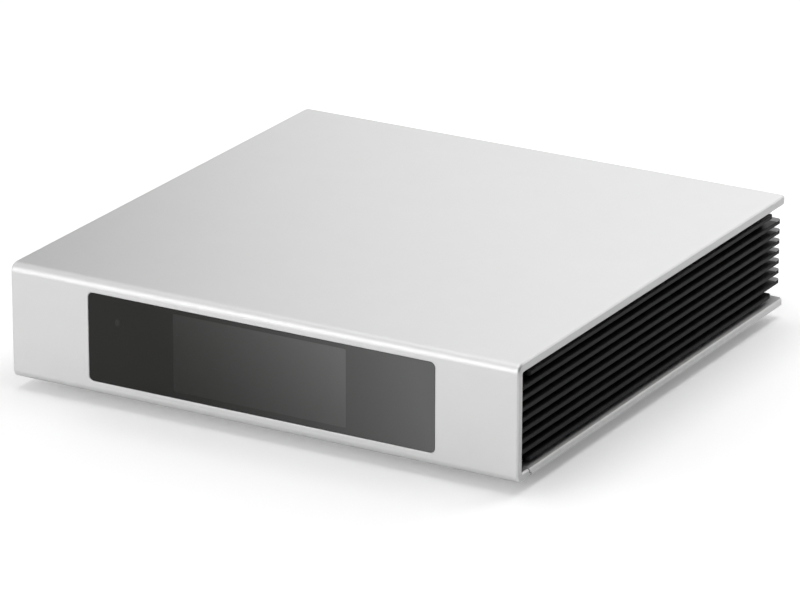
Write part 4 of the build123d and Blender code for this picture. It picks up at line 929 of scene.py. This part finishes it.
def cheeseProfile(look):
    # shank, a straight head with a chamfered rim, and key, with the head's top at 0
    top, radius, chamfer = look["height"], look["radius"], look["chamfer"]
    head = [(0, look["shank"], 0), (0, radius, 0), (top - chamfer, radius, 0), (top, radius - chamfer, 0)]
    return lowered(shankRows(look) + head + keyRows(look, top), top)


def turnScrews(name, profile, node, axis):
    # one screw at the seat of each of the node's solids
    return turnedPiece(name, profile, seatsOf(node, axis), axis, screwSegments, blackSteel)


rearward, downward = (0, 1, 0), (0, 0, -1)
screws = turnScrews("rearButtonScrews", buttonProfile(buttonHead), "panel_screws", rearward)
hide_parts("panel_screws")
screws = turnScrews("floorFlatScrews", flatProfile(flatHead), "floor_screws", downward)
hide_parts("floor_screws")
screws = turnScrews("footCheeseScrews", cheeseProfile(cheeseHead), "foot_screws", downward)
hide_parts("foot_screws")
print("screws turned")

# Aerial sockets with their fine thread, a white collar round the pin, in millimetres
aerialLook = {
    "reach": 19.8, "tail": 2.0, "flats": 4.0, "flange": (-13.8, -11.8), "barrel": 3.15, "relief": 2.8,
    "groove": (-6.8, -6.2), "bore": 2.2, "boreDepth": 5.0, "pin": 0.5, "chamfer": 0.3, "pitch": 0.706,
    "threadDepth": 0.32, "threadRows": 120, "segments": 72,
}
collarLook = {"pinGap": 0.02, "boreGap": 0.05, "reach": 0.3}


def aerialProfile(look):
    # tail, hexagonal flange, relief groove, threaded barrel, bore and pin; along is 0 at the mouth and
    # under 0 behind it
    back, front = look["flange"]
    grooveBack, grooveFront = look["groove"]
    rows = [(-look["reach"], 0, 0), (-look["reach"], look["tail"], 0), (back, look["tail"], 0),
            (back, look["flats"], 1), (front, look["flats"], 1), (front, look["barrel"], 0),
            (grooveBack, look["barrel"], 0), (grooveBack, look["relief"], 0),
            (grooveFront, look["relief"], 0)]
    barrel = np.linspace(grooveFront, -look["chamfer"], look["threadRows"])
    rows += [(along, look["barrel"], 0) for along in barrel.tolist()]
    rows += [(0, look["barrel"] - look["chamfer"], 0), (0, look["bore"], 0),
             (-look["boreDepth"], look["bore"], 0), (-look["boreDepth"], look["pin"], 0),
             (0, look["pin"], 0), (0, 0, 0)]
    return rows


aerialSeats = seatsOf("antenna_sockets", rearward)
collars = [
    plasticZone(whiteColor, middle=tuple(seat / mm - np.array((0, aerialLook["boreDepth"], 0))),
                inner=aerialLook["pin"] + collarLook["pinGap"],
                radius=aerialLook["bore"] - collarLook["boreGap"], reach=collarLook["reach"])
    for seat in aerialSeats]
aerialGold = makeFinish("aerialGold", platedLook(goldColor, collars))
aerialThread = {"start": aerialLook["groove"][1], "stop": -aerialLook["chamfer"],
                "pitch": aerialLook["pitch"], "depth": aerialLook["threadDepth"]}
aerials = turnedPiece("aerialSockets", aerialProfile(aerialLook), aerialSeats, rearward,
                      aerialLook["segments"], aerialGold, aerialThread)
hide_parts("antenna_sockets")
print("aerial sockets turned")

# Spring contacts of the network jack, in millimetres
springLook = {"count": 8, "pitch": 1.02, "radius": 0.19, "mouthFloor": 2.6, "front": -1.6, "run": 8.8,
              "rise": 3.4, "rings": 24, "segments": 10}


def springWires(look, foot):
    # z = rise (1 - cos(pi t)) / 2 along the run; a round section stands square to the path
    t = np.linspace(0, 1, look["rings"])[:, None]
    y = look["front"] - look["run"] * t
    z = look["mouthFloor"] + 2 * look["radius"] + look["rise"] * (1 - np.cos(math.pi * t)) / 2
    slopeY = -look["run"] + 0 * t
    slopeZ = look["rise"] * math.pi * np.sin(math.pi * t) / 2
    length = np.hypot(slopeY, slopeZ)
    turn = np.linspace(0, 2 * math.pi, look["segments"], endpoint=False)[None, :]
    ringX = look["radius"] * np.cos(turn) + 0 * t
    lift = -look["radius"] * np.sin(turn)  # goes round so that the faces point outwards
    ringY = y - lift * slopeZ / length
    ringZ = z + lift * slopeY / length
    skin = np.stack([ringX, ringY, ringZ], axis=-1).reshape(-1, 3)
    ends = np.array([[0, y[0, 0], z[0, 0]], [0, y[-1, 0], z[-1, 0]]])
    one = np.concatenate([ends[:1], skin, ends[1:]])
    row = (np.arange(look["count"]) - (look["count"] - 1) / 2) * look["pitch"]
    wires = one[None] + row[:, None, None] * np.array([1.0, 0.0, 0.0])
    return np.array(foot) + mm * wires.reshape(-1, 3)


wires = springWires(springLook, rearFoot("lan_socket"))
wireFaces = shellFaces(springLook["rings"], springLook["segments"], springLook["count"])
addPiece("lanSpringContacts", wires, wireFaces, gold)
print("network contacts bent")
